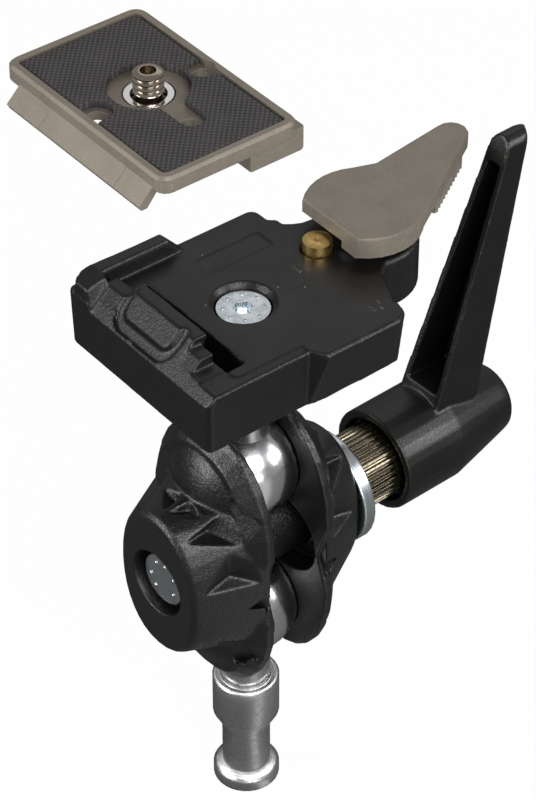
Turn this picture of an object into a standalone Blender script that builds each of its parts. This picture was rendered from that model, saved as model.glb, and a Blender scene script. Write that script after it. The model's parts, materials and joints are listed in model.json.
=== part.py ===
"""Double ball-joint head with a quick-release platform, as separate working pieces.

The spigot stands on the world origin and +Z points up. The clamp bolt runs along X, with
its lever handle at +X. All lengths are in metres, written as millimetres times MM.
Pieces of the platform are written in the platform's own frame, which shares the vertical
axis and is turned by PLATFORM_TURN.
"""

import math

import bmesh
import bpy
import numpy as np
from mathutils import Matrix, Vector

MM = 0.001

# Clearances and tool overruns
FIT = 0.3 * MM
RUNNING_FIT = 0.4 * MM
OVERRUN = 2.0 * MM
BITE = 0.8 * MM
MERGE = 0.01 * MM

# Spigot, a 16 mm stud with its grip groove
STUD_R = 8.0 * MM
STUD_FOOT_R = 7.2 * MM
STUD_FOOT_CHAMFER = 0.8 * MM
STUD_FOOT_BAND = 2.6 * MM
STUD_STEP_R = 7.0 * MM
STUD_STEP_DROP = 1.0 * MM
STUD_STEP_ROUND = 0.8 * MM
GROOVE_R = 5.8 * MM
GROOVE_LENGTH = 12.7 * MM
GROOVE_CONE = 4.4 * MM
STUD_BAND = 11.1 * MM
STUD_TOP_CHAMFER = 0.8 * MM
STUD_TOP_R = 7.1 * MM
NECK_R = 5.85 * MM
NECK_RECESS_R = 6.3 * MM
NECK_RECESS = 0.5 * MM
STEM_PIN_R = 4.0 * MM
STEM_PIN_LENGTH = 9.0 * MM

# Balls and their places
BALL_R = 12.5 * MM
LOWER_BALL_Z = 57.5 * MM
BALL_SPACING = 41.5 * MM
UPPER_BALL_Z = LOWER_BALL_Z + BALL_SPACING
BOLT_Z = LOWER_BALL_Z + BALL_SPACING / 2
SOCKET_R = BALL_R + FIT

# Clamp shells, a facing pair of castings
SHELL_GAP = 15.0 * MM
SHELL_DEPTH = 16.3 * MM
FRONT_FACE_EXTRA = 2.0 * MM
SHELL_HALF_WIDTH = 20.5 * MM
SHELL_HALF_HEIGHT = 35.3 * MM
RIM_BAND = 1.8 * MM
RIM_SHOULDER = 3.4 * MM
RIM_TAPER = 3.2 * MM
WAIST_SHARE = 0.2
WAIST_HALF_HEIGHT = 11.0 * MM
FACE_HALF_WIDTH = 12.6 * MM
FACE_HALF_HEIGHT = 18.8 * MM
FACE_ROUND = 1.0 * MM
BOSS_ROOT_HALF_WIDTH = 19.2 * MM
BOSS_ROOT_HALF_HEIGHT = 22.3 * MM
DOME_R = 16.4 * MM
SHELL_POCKET_HALF_WIDTH = 15.4 * MM
SHELL_POCKET_HALF_HEIGHT = 10.7 * MM
SHELL_POCKET_DEPTH = 5.5 * MM
HEAD_RECESS_R = 8.2 * MM
HEAD_RECESS_DEPTH = 8.0 * MM
DOME_SKIRT_R = 15.9 * MM
DOME_SKIRT_DEPTH = 1.7 * MM
DOME_SKIRT_START = 11.6 * MM
SEAT_BOSS_R = 8.6 * MM
SEAT_BORE_R = 6.9 * MM
SEAT_BOSS_GAP = 2.8 * MM
RIM_POWER = 2.5
BOSS_POWER = 2.2
BOSS_ROOT_POWER = 3.4

# Star pits round a shell's boss. Each point is (depth behind the rim, offset along Y, height
# above the bolt) as shares of the front shell's depth, half width and half height. The last
# point of a pit is its floor, and the others are its corners on the outside.
CROWN_PIT_SHARES = ((0.858, 0.010, 0.555), (0.448, 0.039, 0.720), (0.574, 0.273, 0.550),
                    (0.552, 0.088, 0.505))
FLANK_PIT_SHARES = ((0.874, 0.390, 0.465), (0.295, 0.483, 0.635), (0.246, 0.907, 0.397),
                    (0.541, 0.351, 0.455))
WAIST_PIT_SHARES = ((0.863, 0.654, 0.113), (0.208, 0.844, 0.119), (0.164, 0.927, 0.340),
                    (0.492, 0.707, 0.397), (0.437, 0.629, 0.152))
LOWER_PIT_SHARES = ((0.749, 0.537, -0.377), (0.284, 0.639, -0.603), (0.120, 0.878, -0.045),
                    (0.486, 0.580, -0.323))
PIT_REACH_SHARE = 1.7

# Clamp bolt, its release spring and the thrust washer
BOLT_R = 4.0 * MM
BOLT_HEAD_R = 6.65 * MM
BOLT_HEAD_CHAMFER = 0.4 * MM
BOLT_HEAD_SUNK = 1.9 * MM
RELEASE_WIRE = 1.6 * MM
RELEASE_MEAN_R = 5.7 * MM
RELEASE_TURNS = 7
WASHER_R = 14.2 * MM
WASHER_THICKNESS = 3.5 * MM
WASHER_EDGE = 0.4 * MM

# Splined nut
NUT_TIP_R = 9.3 * MM
NUT_ROOT_R = 8.6 * MM
NUT_SPLINES = 36
SPLINE_TIP_SHARE = 0.38
SPLINE_ROOT_SHARE = 0.55
SPLINE_END_SHARE = 0.83
NUT_SPLINE_LENGTH = 17.5 * MM
NUT_NOSE_R = 7.6 * MM
NUT_NOSE_LENGTH = 5.0 * MM
BOLT_REACH_IN_NUT = 12.0 * MM
NUT_WEB = 2.0 * MM

# Clamping handle
HANDLE_STANDOFF = 11.35 * MM
HUB_R = 12.8 * MM
HUB_BARREL = 17.6 * MM
HUB_CONE = 17.4 * MM
HUB_END_R = 9.2 * MM
HUB_END_ROUND = 3.0 * MM
HUB_MOUTH_R = 10.7 * MM
HUB_MOUTH_DEPTH = 3.6 * MM
HUB_SPLINE_LENGTH = 5.5 * MM
HUB_WEB = 3.0 * MM
HUB_WELL_R = 5.6 * MM
ARM_ROOT_X = 52.2 * MM
ARM_ROOT_DEPTH = 14.7 * MM
ARM_ROOT_HALF_WIDTH = 6.5 * MM
ARM_ROOT_RISE = 9.75 * MM
ARM_TIP_X = 75.8 * MM
ARM_TIP_DEPTH = 6.6 * MM
ARM_TIP_HALF_WIDTH = 3.0 * MM
ARM_TIP_Z = 154.0 * MM
ARM_TIP_SHARE = 0.35
ARM_WALL = 1.5 * MM
ARM_WEB = 2.2 * MM
CHANNEL_LOW_Z = 92.8 * MM
CHANNEL_HIGH_Z = 147.5 * MM

# Handle screw and spring
SCREW_R = 2.5 * MM
SCREW_HEAD_R = 4.3 * MM
SCREW_HEAD_HEIGHT = 3.6 * MM
SCREW_SOCKET_R = 2.3 * MM
SCREW_SOCKET_DEPTH = 2.2 * MM
SCREW_REACH = 7.4 * MM
HANDLE_SPRING_WIRE = 0.9 * MM
HANDLE_SPRING_MEAN_R = 3.9 * MM
HANDLE_SPRING_LENGTH = 12.0 * MM
HANDLE_SPRING_TURNS = 5

# Upper ball stem and platform screw
PLATFORM_TURN = math.radians(-2.03)
DECK_Z = 144.9 * MM
PLATFORM_HEIGHT = 15.5 * MM
PLATFORM_UNDER_Z = DECK_Z - PLATFORM_HEIGHT
STEM_COLLAR_R = 8.0 * MM
STEM_COLLAR_HEIGHT = 3.0 * MM
PLATFORM_SCREW_R = 3.0 * MM
PLATFORM_SCREW_HEAD_R = 6.0 * MM
PLATFORM_SCREW_SINK = 1.5 * MM
PLATFORM_SCREW_RIM = 0.4 * MM
PLATFORM_SCREW_REACH = 10.0 * MM
PLATFORM_SOCKET_R = 2.3 * MM
PLATFORM_SOCKET_DEPTH = 2.4 * MM
COUNTERBORE_R = 7.4 * MM

# Platform casting
DECK_LEFT_X = -26.2 * MM
DECK_RIGHT_X = 26.0 * MM
DECK_BACK_Y = 25.8 * MM
DECK_STEP_Y = 28.3 * MM
DECK_FRONT_Y = -21.8 * MM
DECK_CORNER = 1.8 * MM
DECK_BACK_CORNER = 2.4 * MM
SHOULDER_X = 22.9 * MM
SHOULDER_Y = 20.6 * MM
BAY_X = 24.6 * MM
BAY_Y = 19.2 * MM
BAY_FOOT_Y = 14.0 * MM
DECK_EDGE_ROUND = 0.8 * MM
DECK_FOOT_INSET = 0.4 * MM
CHIN_FRONT_Y = -25.6 * MM
CHIN_START_X = 0.6 * MM
CHIN_FULL_X = 3.0 * MM
CHIN_FOOT_SHARE = 0.12
LIP_SLOPE_X = -19.3 * MM
LIP_EDGE_DROP = 2.5 * MM
JAW_HEIGHT = 4.5 * MM
JAW_INNER_X = -15.9 * MM
JAW_UNDERCUT_X = -17.2 * MM
JAW_FRONT_Y = -8.4 * MM
JAW_BACK_Y = 14.0 * MM
JAW_TAB_FRONT_Y = -12.6 * MM
JAW_TAB_BACK_Y = 21.2 * MM
JAW_TAB_HEIGHT = 2.6 * MM
JAW_TAB_X = -20.8 * MM
JAW_TAB_INNER_X = -17.6 * MM
SLOT_INNER_X = -12.4 * MM
SLOT_FRONT_Y = -16.5 * MM
SLOT_BACK_Y = 18.0 * MM
SLOT_DEPTH = 9.0 * MM
U_OUTER_X = -25.4 * MM
U_FRONT_Y = -6.0 * MM
U_BACK_Y = 14.5 * MM
U_WIDTH = 2.2 * MM
U_DEPTH = 1.5 * MM
U_CORNER = 4.0 * MM
RIB_RIGHT_X = 1.6 * MM
RIB_LEFT_X = -23.6 * MM
RIB_TOP_Y = 22.9 * MM
RIB_FOOT_Y = 22.4 * MM
RIB_HEIGHT = 4.5 * MM
RIB_STEP = 0.9 * MM
RIB_END_SLOPE = 4.6 * MM
RIB_END_Y = 26.7 * MM
RIB_BACK_Y = 26.7 * MM
CORNER_RIGHT_X = -20.8 * MM
CORNER_FRONT_Y = 19.8 * MM
CORNER_BLEND = 2.0 * MM
CORNER_FALL = 3.0 * MM
CORNER_INSET = 0.3 * MM
BAND_X = -16.9 * MM
BAND_Y = -19.2 * MM
BAND_DEPTH = 0.25 * MM
LABEL_LEFT_X = -0.2 * MM
LABEL_RIGHT_X = 18.0 * MM
LABEL_FRONT_Y = 12.0 * MM
LABEL_BACK_Y = 18.0 * MM
LABEL_CORNER = 0.8 * MM

# Lobe that carries the cam lever
PIVOT_X = 36.3 * MM
PIVOT_Y = 3.6 * MM
LOBE_R = 12.4 * MM
LOBE_HEIGHT = 13.1 * MM
LOBE_FROM = math.radians(-105.0)
LOBE_TO = math.radians(115.0)
WEB_SWEEP_X = 28.0 * MM
WEB_SWEEP_Y = 15.2 * MM
WEB_BAY_X = 26.0 * MM
WEB_BAY_Y = 16.2 * MM
WEB_INNER_X = 24.0 * MM
WEB_INNER_Y = 17.8 * MM
LOBE_NOTCH_X = 25.8 * MM
LOBE_NOTCH_Y = -20.2 * MM
LOBE_ROOT_X = 30.2 * MM
LOBE_ROOT_Y = -10.6 * MM
LOBE_ROOT_OVERLAP = 6.0 * MM

# Cam lever, its pivot and its torsion spring
LEVER_TOP = 8.0 * MM
LEVER_FOOT = 2.4 * MM
LEVER_PLATE = 3.7 * MM
LEVER_R = 13.6 * MM
LEVER_FLAT = 9.7 * MM
LEVER_EDGE = 0.9 * MM
LEVER_EDGE_SHARE = 0.3
LEVER_REACH = 34.0 * MM
LEVER_TIP_R = 3.9 * MM
LEVER_TIP_AZIMUTH = math.radians(15.0)
LEVER_FRONT_END = math.radians(300.0)
LEVER_BACK_START = math.radians(62.0)
LEVER_TIP_LEAN_SHARE = 0.1
LEVER_WAIST_SHARES = (0.86, 0.74)
SKIRT_WALL = 2.4 * MM
SKIRT_FROM = math.radians(-138.0)
SKIRT_TO = math.radians(40.0)
SKIRT_LUG = 5.4 * MM
TAB_LENGTH = 19.4 * MM
TAB_TIP_GAP = 3.0 * MM
TAB_THICKNESS = 2.2 * MM
TAB_DROP = 3.2 * MM
TAB_TEETH = 11
TAB_TOOTH = 0.5 * MM
PIVOT_R = 3.0 * MM
PIVOT_HEAD_R = 5.0 * MM
PIVOT_HEAD_HEIGHT = 1.5 * MM
PIVOT_BOSS_R = 4.4 * MM
LEVER_SPRING_WIRE = 0.9 * MM
LEVER_SPRING_MEAN_R = 6.4 * MM
LEVER_SPRING_TURNS = 2

# Trigger pin with its spring and clip
PIN_X = 24.2 * MM
PIN_Y = 4.8 * MM
PIN_R = 3.35 * MM
PIN_BOSS_R = 3.4 * MM
PIN_PROUD = 2.9 * MM
PIN_LENGTH = 7.5 * MM
PIN_CROWN_R = 2.5 * MM
PIN_CROWN_STEP = 0.35 * MM
PIN_DOT_R = 0.6 * MM
PIN_STEM_R = 1.5 * MM
PIN_WELL = 10.0 * MM
PIN_STEM_BELOW = 4.0 * MM
PIN_SPRING_WIRE = 0.5 * MM
PIN_SPRING_MEAN_R = 2.4 * MM
PIN_SPRING_TURNS = 3
CLIP_R = 3.2 * MM
CLIP_THICKNESS = 0.8 * MM
CLIP_BELOW = 1.0 * MM
CLIP_MOUTH = 1.8 * MM
CLIP_GROOVE_R = 1.1 * MM

# Quick-release plate, floating above the platform as it is shown
PLATE_LEFT_X = -41.03 * MM
PLATE_WIDTH = 33.3 * MM
PLATE_FRONT_Y = -28.62 * MM
PLATE_LENGTH = 52.5 * MM
PLATE_TOP_Z = 210.4 * MM
PLATE_CORNER = 3.0 * MM
PLATE_RIM_HEIGHT = 4.0 * MM
PLATE_RIM_WALL = 1.9 * MM
PLATE_EDGE = 0.6 * MM
PLATE_PAD_SEAT = 2.0 * MM
FLANK_REACH = 3.3 * MM
FLANK_DROP = 7.2 * MM
FLANK_FRONT_Y = -25.5 * MM
FLANK_BACK_Y = 18.3 * MM
FLANK_WALL = 2.0 * MM
FLANK_LIP = 1.2 * MM
FOOT_REACH = 2.0 * MM
FOOT_DROP = 7.9 * MM
FOOT_START_X = -19.6 * MM
FOOT_DEPTH = 6.0 * MM
PAD_SINK = 0.2 * MM
PAD_EDGE = 0.5 * MM
KEYHOLE_X = -23.6 * MM
KEYHOLE_Y = -0.8 * MM
KEYHOLE_R = 8.4 * MM
KEYHOLE_LANE = 5.6 * MM
KEYHOLE_END_Y = -14.8 * MM
PLATE_HOLE_R = 2.3 * MM
LEFT_HOLE_X = -36.6 * MM
LEFT_HOLE_Y = -1.5 * MM
RIGHT_HOLE_X = -11.2 * MM
RIGHT_HOLE_Y = -2.3 * MM
HOLE_LAND_R = 3.4 * MM

# Camera screw and the washer that holds it
CAMERA_SCREW_R = 3.17 * MM
CAMERA_SCREW_ROOT_R = 2.55 * MM
CAMERA_SCREW_PROUD = 3.4 * MM
CAMERA_THREAD_PITCH = 1.27 * MM
CAMERA_THREADS = 4
CAMERA_CREST_SHARES = (0.4, 0.6)
CAMERA_SOCKET_R = 1.7 * MM
CAMERA_SOCKET_DEPTH = 3.0 * MM
CAMERA_HEAD_R = 7.0 * MM
CAMERA_HEAD_HEIGHT = 2.2 * MM
CAMERA_SLOT = 1.6 * MM
CAMERA_SLOT_DEPTH = 1.2 * MM
WASHER_DISC_R = 5.1 * MM
WASHER_HOLE_R = 3.7 * MM
WASHER_DISC_HEIGHT = 0.8 * MM
SCREW_HOLE_R = 4.4 * MM

# Facet counts, and the angle past which an edge is shaded sharp
ROUND_STEPS = 32
BORE_STEPS = 24
SMALL_STEPS = 20
HEX_SIDES = 6
WIRE_STEPS = 9
BALL_STEPS = 11
DOME_STEPS = 6
SOCKET_STEPS = 9
SHARP_ANGLE = math.radians(32.0)
MITRE_SHARE = 0.3


def vertical(z):
    """The point at height z on the head's vertical axis."""
    return Vector((0, 0, z))


class Body:
    """An empty on a joint's axis, which carries the pieces that move with it."""

    def __init__(self, name, origin, carrier=None, turn=0.0):
        self.origin = Vector(origin)
        self.empty = bpy.data.objects.new(name, None)
        bpy.context.scene.collection.objects.link(self.empty)
        self.empty.location = self.origin
        if carrier:
            self.empty.parent = carrier.empty
            self.empty.location = self.origin - carrier.origin
        self.empty.rotation_euler.z = turn


def material(name, colour, roughness, metallic):
    """A Principled material with one colour."""
    made = bpy.data.materials.new(name)
    made.use_nodes = True
    shader = made.node_tree.nodes["Principled BSDF"]
    shader.inputs["Base Color"].default_value = (*colour, 1.0)
    shader.inputs["Roughness"].default_value = roughness
    shader.inputs["Metallic"].default_value = metallic
    return made


def make_object(name, shape, body, finish=None):
    """Turn a bmesh in assembly coordinates into an object carried by body."""
    bmesh.ops.remove_doubles(shape, verts=shape.verts, dist=MERGE)
    bmesh.ops.recalc_face_normals(shape, faces=shape.faces)
    bmesh.ops.translate(shape, verts=shape.verts, vec=-body.origin)
    mesh = bpy.data.meshes.new(name)
    shape.to_mesh(mesh)
    shape.free()
    mesh.shade_smooth()
    mesh.set_sharp_from_angle(angle=SHARP_ANGLE)
    made = bpy.data.objects.new(name, mesh)
    bpy.context.scene.collection.objects.link(made)
    made.parent = body.empty
    if finish:
        mesh.materials.append(finish)
    return made


def guide(name, shape, body):
    """A hidden shape that only cuts or joins another."""
    made = make_object(name, shape, body)
    made.hide_render = True
    made.display_type = "WIRE"
    return made


def combine(piece, name, shape, body, operation):
    """Cut a shape from a piece, or join it on, with an exact boolean."""
    tool = guide(f"{piece.name}_{name}", shape, body)
    step = piece.modifiers.new(name, "BOOLEAN")
    step.operation = operation
    step.solver = "EXACT"
    step.object = tool


def cut(piece, name, shape, body):
    combine(piece, name, shape, body, "DIFFERENCE")


def join(piece, name, shape, body):
    combine(piece, name, shape, body, "UNION")


def arc(centre, radius, start, end, steps):
    """Points on an arc in the plane, both ends included."""
    angles = np.linspace(start, end, steps + 1)
    return [(centre[0] + radius * math.cos(a), centre[1] + radius * math.sin(a)) for a in angles]


def rounded(corners, steps=4):
    """An outline from corners (x, y, radius), with each corner turned into an arc."""
    points = []
    count = len(corners)
    for index, (x, y, radius) in enumerate(corners):
        here = Vector((x, y))
        if radius == 0:
            points.append(tuple(here))
            continue
        before = Vector(corners[index - 1][:2]) - here
        after = Vector(corners[(index + 1) % count][:2]) - here
        half = before.angle(after) / 2
        reach = radius / math.tan(half)
        centre = here + (before.normalized() + after.normalized()).normalized() * radius / math.sin(half)
        first = here + before.normalized() * reach - centre
        last = here + after.normalized() * reach - centre
        start = math.atan2(first.y, first.x)
        turn = math.remainder(math.atan2(last.y, last.x) - start, 2 * math.pi)
        points += arc(centre, radius, start, start + turn, steps)
    return points


def grown(outline, amount):
    """An outline moved outward by amount, or inward where it is negative."""
    count = len(outline)
    area = sum(outline[i - 1][0] * outline[i][1] - outline[i][0] * outline[i - 1][1] for i in range(count))
    side = math.copysign(1, area) * amount
    moved = []
    for i in range(count):
        before = (Vector(outline[i]) - Vector(outline[i - 1])).normalized()
        after = (Vector(outline[(i + 1) % count]) - Vector(outline[i])).normalized()
        normal = Vector((before.y + after.y, -before.x - after.x)).normalized()
        share = max(normal.dot(Vector((before.y, -before.x))), MITRE_SHARE)
        moved.append(tuple(Vector(outline[i]) + normal * side / share))
    return moved


PLANES = {
    "xy": lambda a, b, c: (a, b, c),
    "yz": lambda a, b, c: (c, a, b),
    "xz": lambda a, b, c: (a, c, b),
}


def loft(sections):
    """A closed solid through rings of 3-D points, capped at both ends."""
    shape = bmesh.new()
    rings = [[shape.verts.new(point) for point in ring] for ring in sections]
    for lower, upper in zip(rings, rings[1:]):
        for i in range(len(lower)):
            shape.faces.new((lower[i - 1], lower[i], upper[i], upper[i - 1]))
    shape.faces.new(list(reversed(rings[0])))
    shape.faces.new(rings[-1])
    return shape


def prism(outline, low, high, plane="xy"):
    """An outline in a plane, extruded along the third axis from low to high."""
    place = PLANES[plane]
    return loft([[place(a, b, level) for a, b in outline] for level in (low, high)])


def layered(outline, levels, plane="xy"):
    """An outline stacked at (level, growth) pairs, for drafted and rounded edges."""
    place = PLANES[plane]
    return loft([[place(a, b, level) for a, b in grown(outline, growth)] for level, growth in levels])


def box(low, high):
    """A block between two corners."""
    corners = [(low[0], low[1]), (high[0], low[1]), (high[0], high[1]), (low[0], high[1])]
    return prism(corners, low[2], high[2])


def turned(profile, centre, axis="Z", steps=ROUND_STEPS):
    """A profile of (radius, distance along the axis) revolved about an axis through centre."""
    shape = bmesh.new()
    along = Vector((0, 0, 1)) if axis == "Z" else Vector((1, 0, 0))
    out = Vector((1, 0, 0)) if axis == "Z" else Vector((0, 0, 1))
    base = Vector(centre)
    points = [shape.verts.new(base + out * radius + along * height) for radius, height in profile]
    edges = [shape.edges.new((points[i - 1], points[i])) for i in range(1, len(points))]
    if profile[0][0] > MERGE or profile[-1][0] > MERGE:
        edges.append(shape.edges.new((points[-1], points[0])))
    bmesh.ops.spin(shape, geom=points + edges, cent=base, axis=along, angle=2 * math.pi, steps=steps,
                   use_merge=True)
    bmesh.ops.remove_doubles(shape, verts=shape.verts, dist=MERGE)
    bmesh.ops.dissolve_degenerate(shape, edges=shape.edges, dist=MERGE)
    return shape


def bar(radius, low, high, centre, axis="Z", steps=SMALL_STEPS):
    """A plain bar along an axis, round or with few flat sides."""
    across, up = (centre[0], centre[1]) if axis == "Z" else (centre[1], centre[2])
    half_step = math.pi / steps
    outline = arc((across, up), radius, half_step, 2 * math.pi + half_step, steps)[:-1]
    return prism(outline, low, high, "xy" if axis == "Z" else "yz")


def oval(half_width, half_height, power, steps=ROUND_STEPS):
    """A rounded oval about the origin; a higher power fills its corners."""
    points = []
    for angle in np.linspace(0, 2 * math.pi, steps, endpoint=False):
        across, up = math.cos(angle), math.sin(angle)
        points.append((math.copysign(abs(across) ** (2 / power), across) * half_width,
                       math.copysign(abs(up) ** (2 / power), up) * half_height))
    return points


def least_gap(points, wire, skip):
    """The least distance between a wire's surface and itself, past its next points."""
    spots = np.array([tuple(point) for point in points])
    distances = np.linalg.norm(spots[:, None] - spots[None, :], axis=2)
    far = np.abs(np.subtract.outer(np.arange(len(spots)), np.arange(len(spots)))) >= skip
    return distances[far].min() - wire


def coil(name, body, finish, centre, axis, wire, mean_r, length, turns):
    """An open compression spring as one tube, with closed ends that lie square to its axis."""
    along = Vector((0, 0, 1)) if axis == "Z" else Vector((1, 0, 0))
    across = Vector((1, 0, 0)) if axis == "Z" else Vector((0, 1, 0))
    side = along.cross(across)
    count = turns * WIRE_STEPS
    points = []
    for i in range(count + 1):
        angle = 2 * math.pi * i / WIRE_STEPS
        height = wire / 2 + (length - wire) * i / count
        spot = across * (mean_r * math.cos(angle)) + side * (mean_r * math.sin(angle)) + along * height
        points.append(Vector(centre) + spot - body.origin)
    curve = bpy.data.curves.new(name, "CURVE")
    curve.dimensions = "3D"
    curve.bevel_depth = wire / 2
    curve.bevel_resolution = 1
    curve.use_fill_caps = True
    line = curve.splines.new("POLY")
    line.points.add(len(points) - 1)
    for spot, point in zip(line.points, points):
        spot.co = (*point, 1)
    curve.materials.append(finish)
    made = bpy.data.objects.new(name, curve)
    bpy.context.scene.collection.objects.link(made)
    made.parent = body.empty
    gap = least_gap(points, wire, WIRE_STEPS // 2)
    print(f"{name}: least gap to itself {gap / MM:.2f} mm")
    return made


def ball_arc(centre_z, start_z, end_z, radius, steps):
    """Profile points on a ball between two heights, both ends included."""
    start = math.asin(max(-1, min(1, (start_z - centre_z) / radius)))
    end = math.asin(max(-1, min(1, (end_z - centre_z) / radius)))
    return [(max(radius * math.cos(a), 0), centre_z + radius * math.sin(a))
            for a in np.linspace(start, end, steps + 1)]


def neck_height():
    """Height above a ball's centre of the flat where its neck meets it."""
    return math.sqrt(BALL_R ** 2 - (NECK_R + FIT) ** 2)


def make_spigot(body, finish):
    """The stud that a light stand grips, with the neck and pin that carry the lower ball."""
    profile = [(0, 0), (STUD_FOOT_R, 0)]
    z = STUD_FOOT_CHAMFER
    profile.append((STUD_R, z))
    z += STUD_FOOT_BAND
    profile.append((STUD_R, z))
    z += STUD_STEP_DROP
    profile.append((STUD_STEP_R, z))
    z += STUD_STEP_ROUND
    profile.append((GROOVE_R, z))
    z += GROOVE_LENGTH
    profile.append((GROOVE_R, z))
    z += GROOVE_CONE
    profile.append((STUD_R, z))
    z += STUD_BAND
    profile.append((STUD_R, z))
    z += STUD_TOP_CHAMFER
    profile += [(STUD_TOP_R, z), (NECK_RECESS_R, z), (NECK_R, z - NECK_RECESS)]
    shoulder = LOWER_BALL_Z - neck_height() - FIT
    profile += [(NECK_R, shoulder), (STEM_PIN_R, shoulder)]
    profile += [(STEM_PIN_R, shoulder + STEM_PIN_LENGTH), (0, shoulder + STEM_PIN_LENGTH)]
    return make_object("spigot", turned(profile, vertical(0)), body, finish)


def make_lower_ball(body, finish):
    """A ball bored from below for the spigot's pin."""
    seat = LOWER_BALL_Z - neck_height()
    bore_r = STEM_PIN_R + FIT
    bore_top = seat + STEM_PIN_LENGTH
    profile = [(0, bore_top), (bore_r, bore_top), (bore_r, seat)]
    profile += ball_arc(LOWER_BALL_Z, seat, LOWER_BALL_Z + BALL_R, BALL_R, BALL_STEPS)
    return make_object("lower_ball", turned(profile, vertical(0)), body, finish)


def make_upper_ball(body, finish):
    """A ball with a stem and a collar under the platform, drilled for the platform screw."""
    joint = UPPER_BALL_Z + math.sqrt(BALL_R ** 2 - NECK_R ** 2)
    top = PLATFORM_UNDER_Z - FIT
    hole_r = PLATFORM_SCREW_R + FIT
    hole_low = top - PLATFORM_SCREW_REACH - FIT
    profile = ball_arc(UPPER_BALL_Z, UPPER_BALL_Z - BALL_R, joint, BALL_R, BALL_STEPS)
    flare = (STEM_COLLAR_R - NECK_R)
    profile += [(NECK_R, top - STEM_COLLAR_HEIGHT - flare), (STEM_COLLAR_R, top - STEM_COLLAR_HEIGHT)]
    profile += [(STEM_COLLAR_R, top), (hole_r, top), (hole_r, hole_low), (0, hole_low)]
    return make_object("upper_ball", turned(profile, vertical(0)), body, finish)


def shell_ring(side, depth, half_width, half_height, power, waist=0.0):
    """A ring of the shell's outer surface at a depth behind its rim."""
    x = side * (SHELL_GAP / 2 + depth)
    ring = []
    for y, z in oval(half_width, half_height, power, ROUND_STEPS):
        narrow = max(1 - abs(z) / WAIST_HALF_HEIGHT, 0)
        ring.append((x, y * (1 - waist * narrow), BOLT_Z + z))
    return ring if side > 0 else list(reversed(ring))


def pit(side, depth, shares, across, up):
    """A pointed hollow between two ribs of the star, open to the outside."""
    points = [Vector((side * (SHELL_GAP / 2 + x * depth), across * y * SHELL_HALF_WIDTH,
                      BOLT_Z + up * z * SHELL_HALF_HEIGHT)) for x, y, z in shares]
    floor = points[-1]
    shape = bmesh.new()
    shape.verts.new(floor)
    for corner in points[:-1]:
        shape.verts.new(floor + (corner - floor) * PIT_REACH_SHARE)
    bmesh.ops.convex_hull(shape, input=shape.verts)
    return shape


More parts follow.
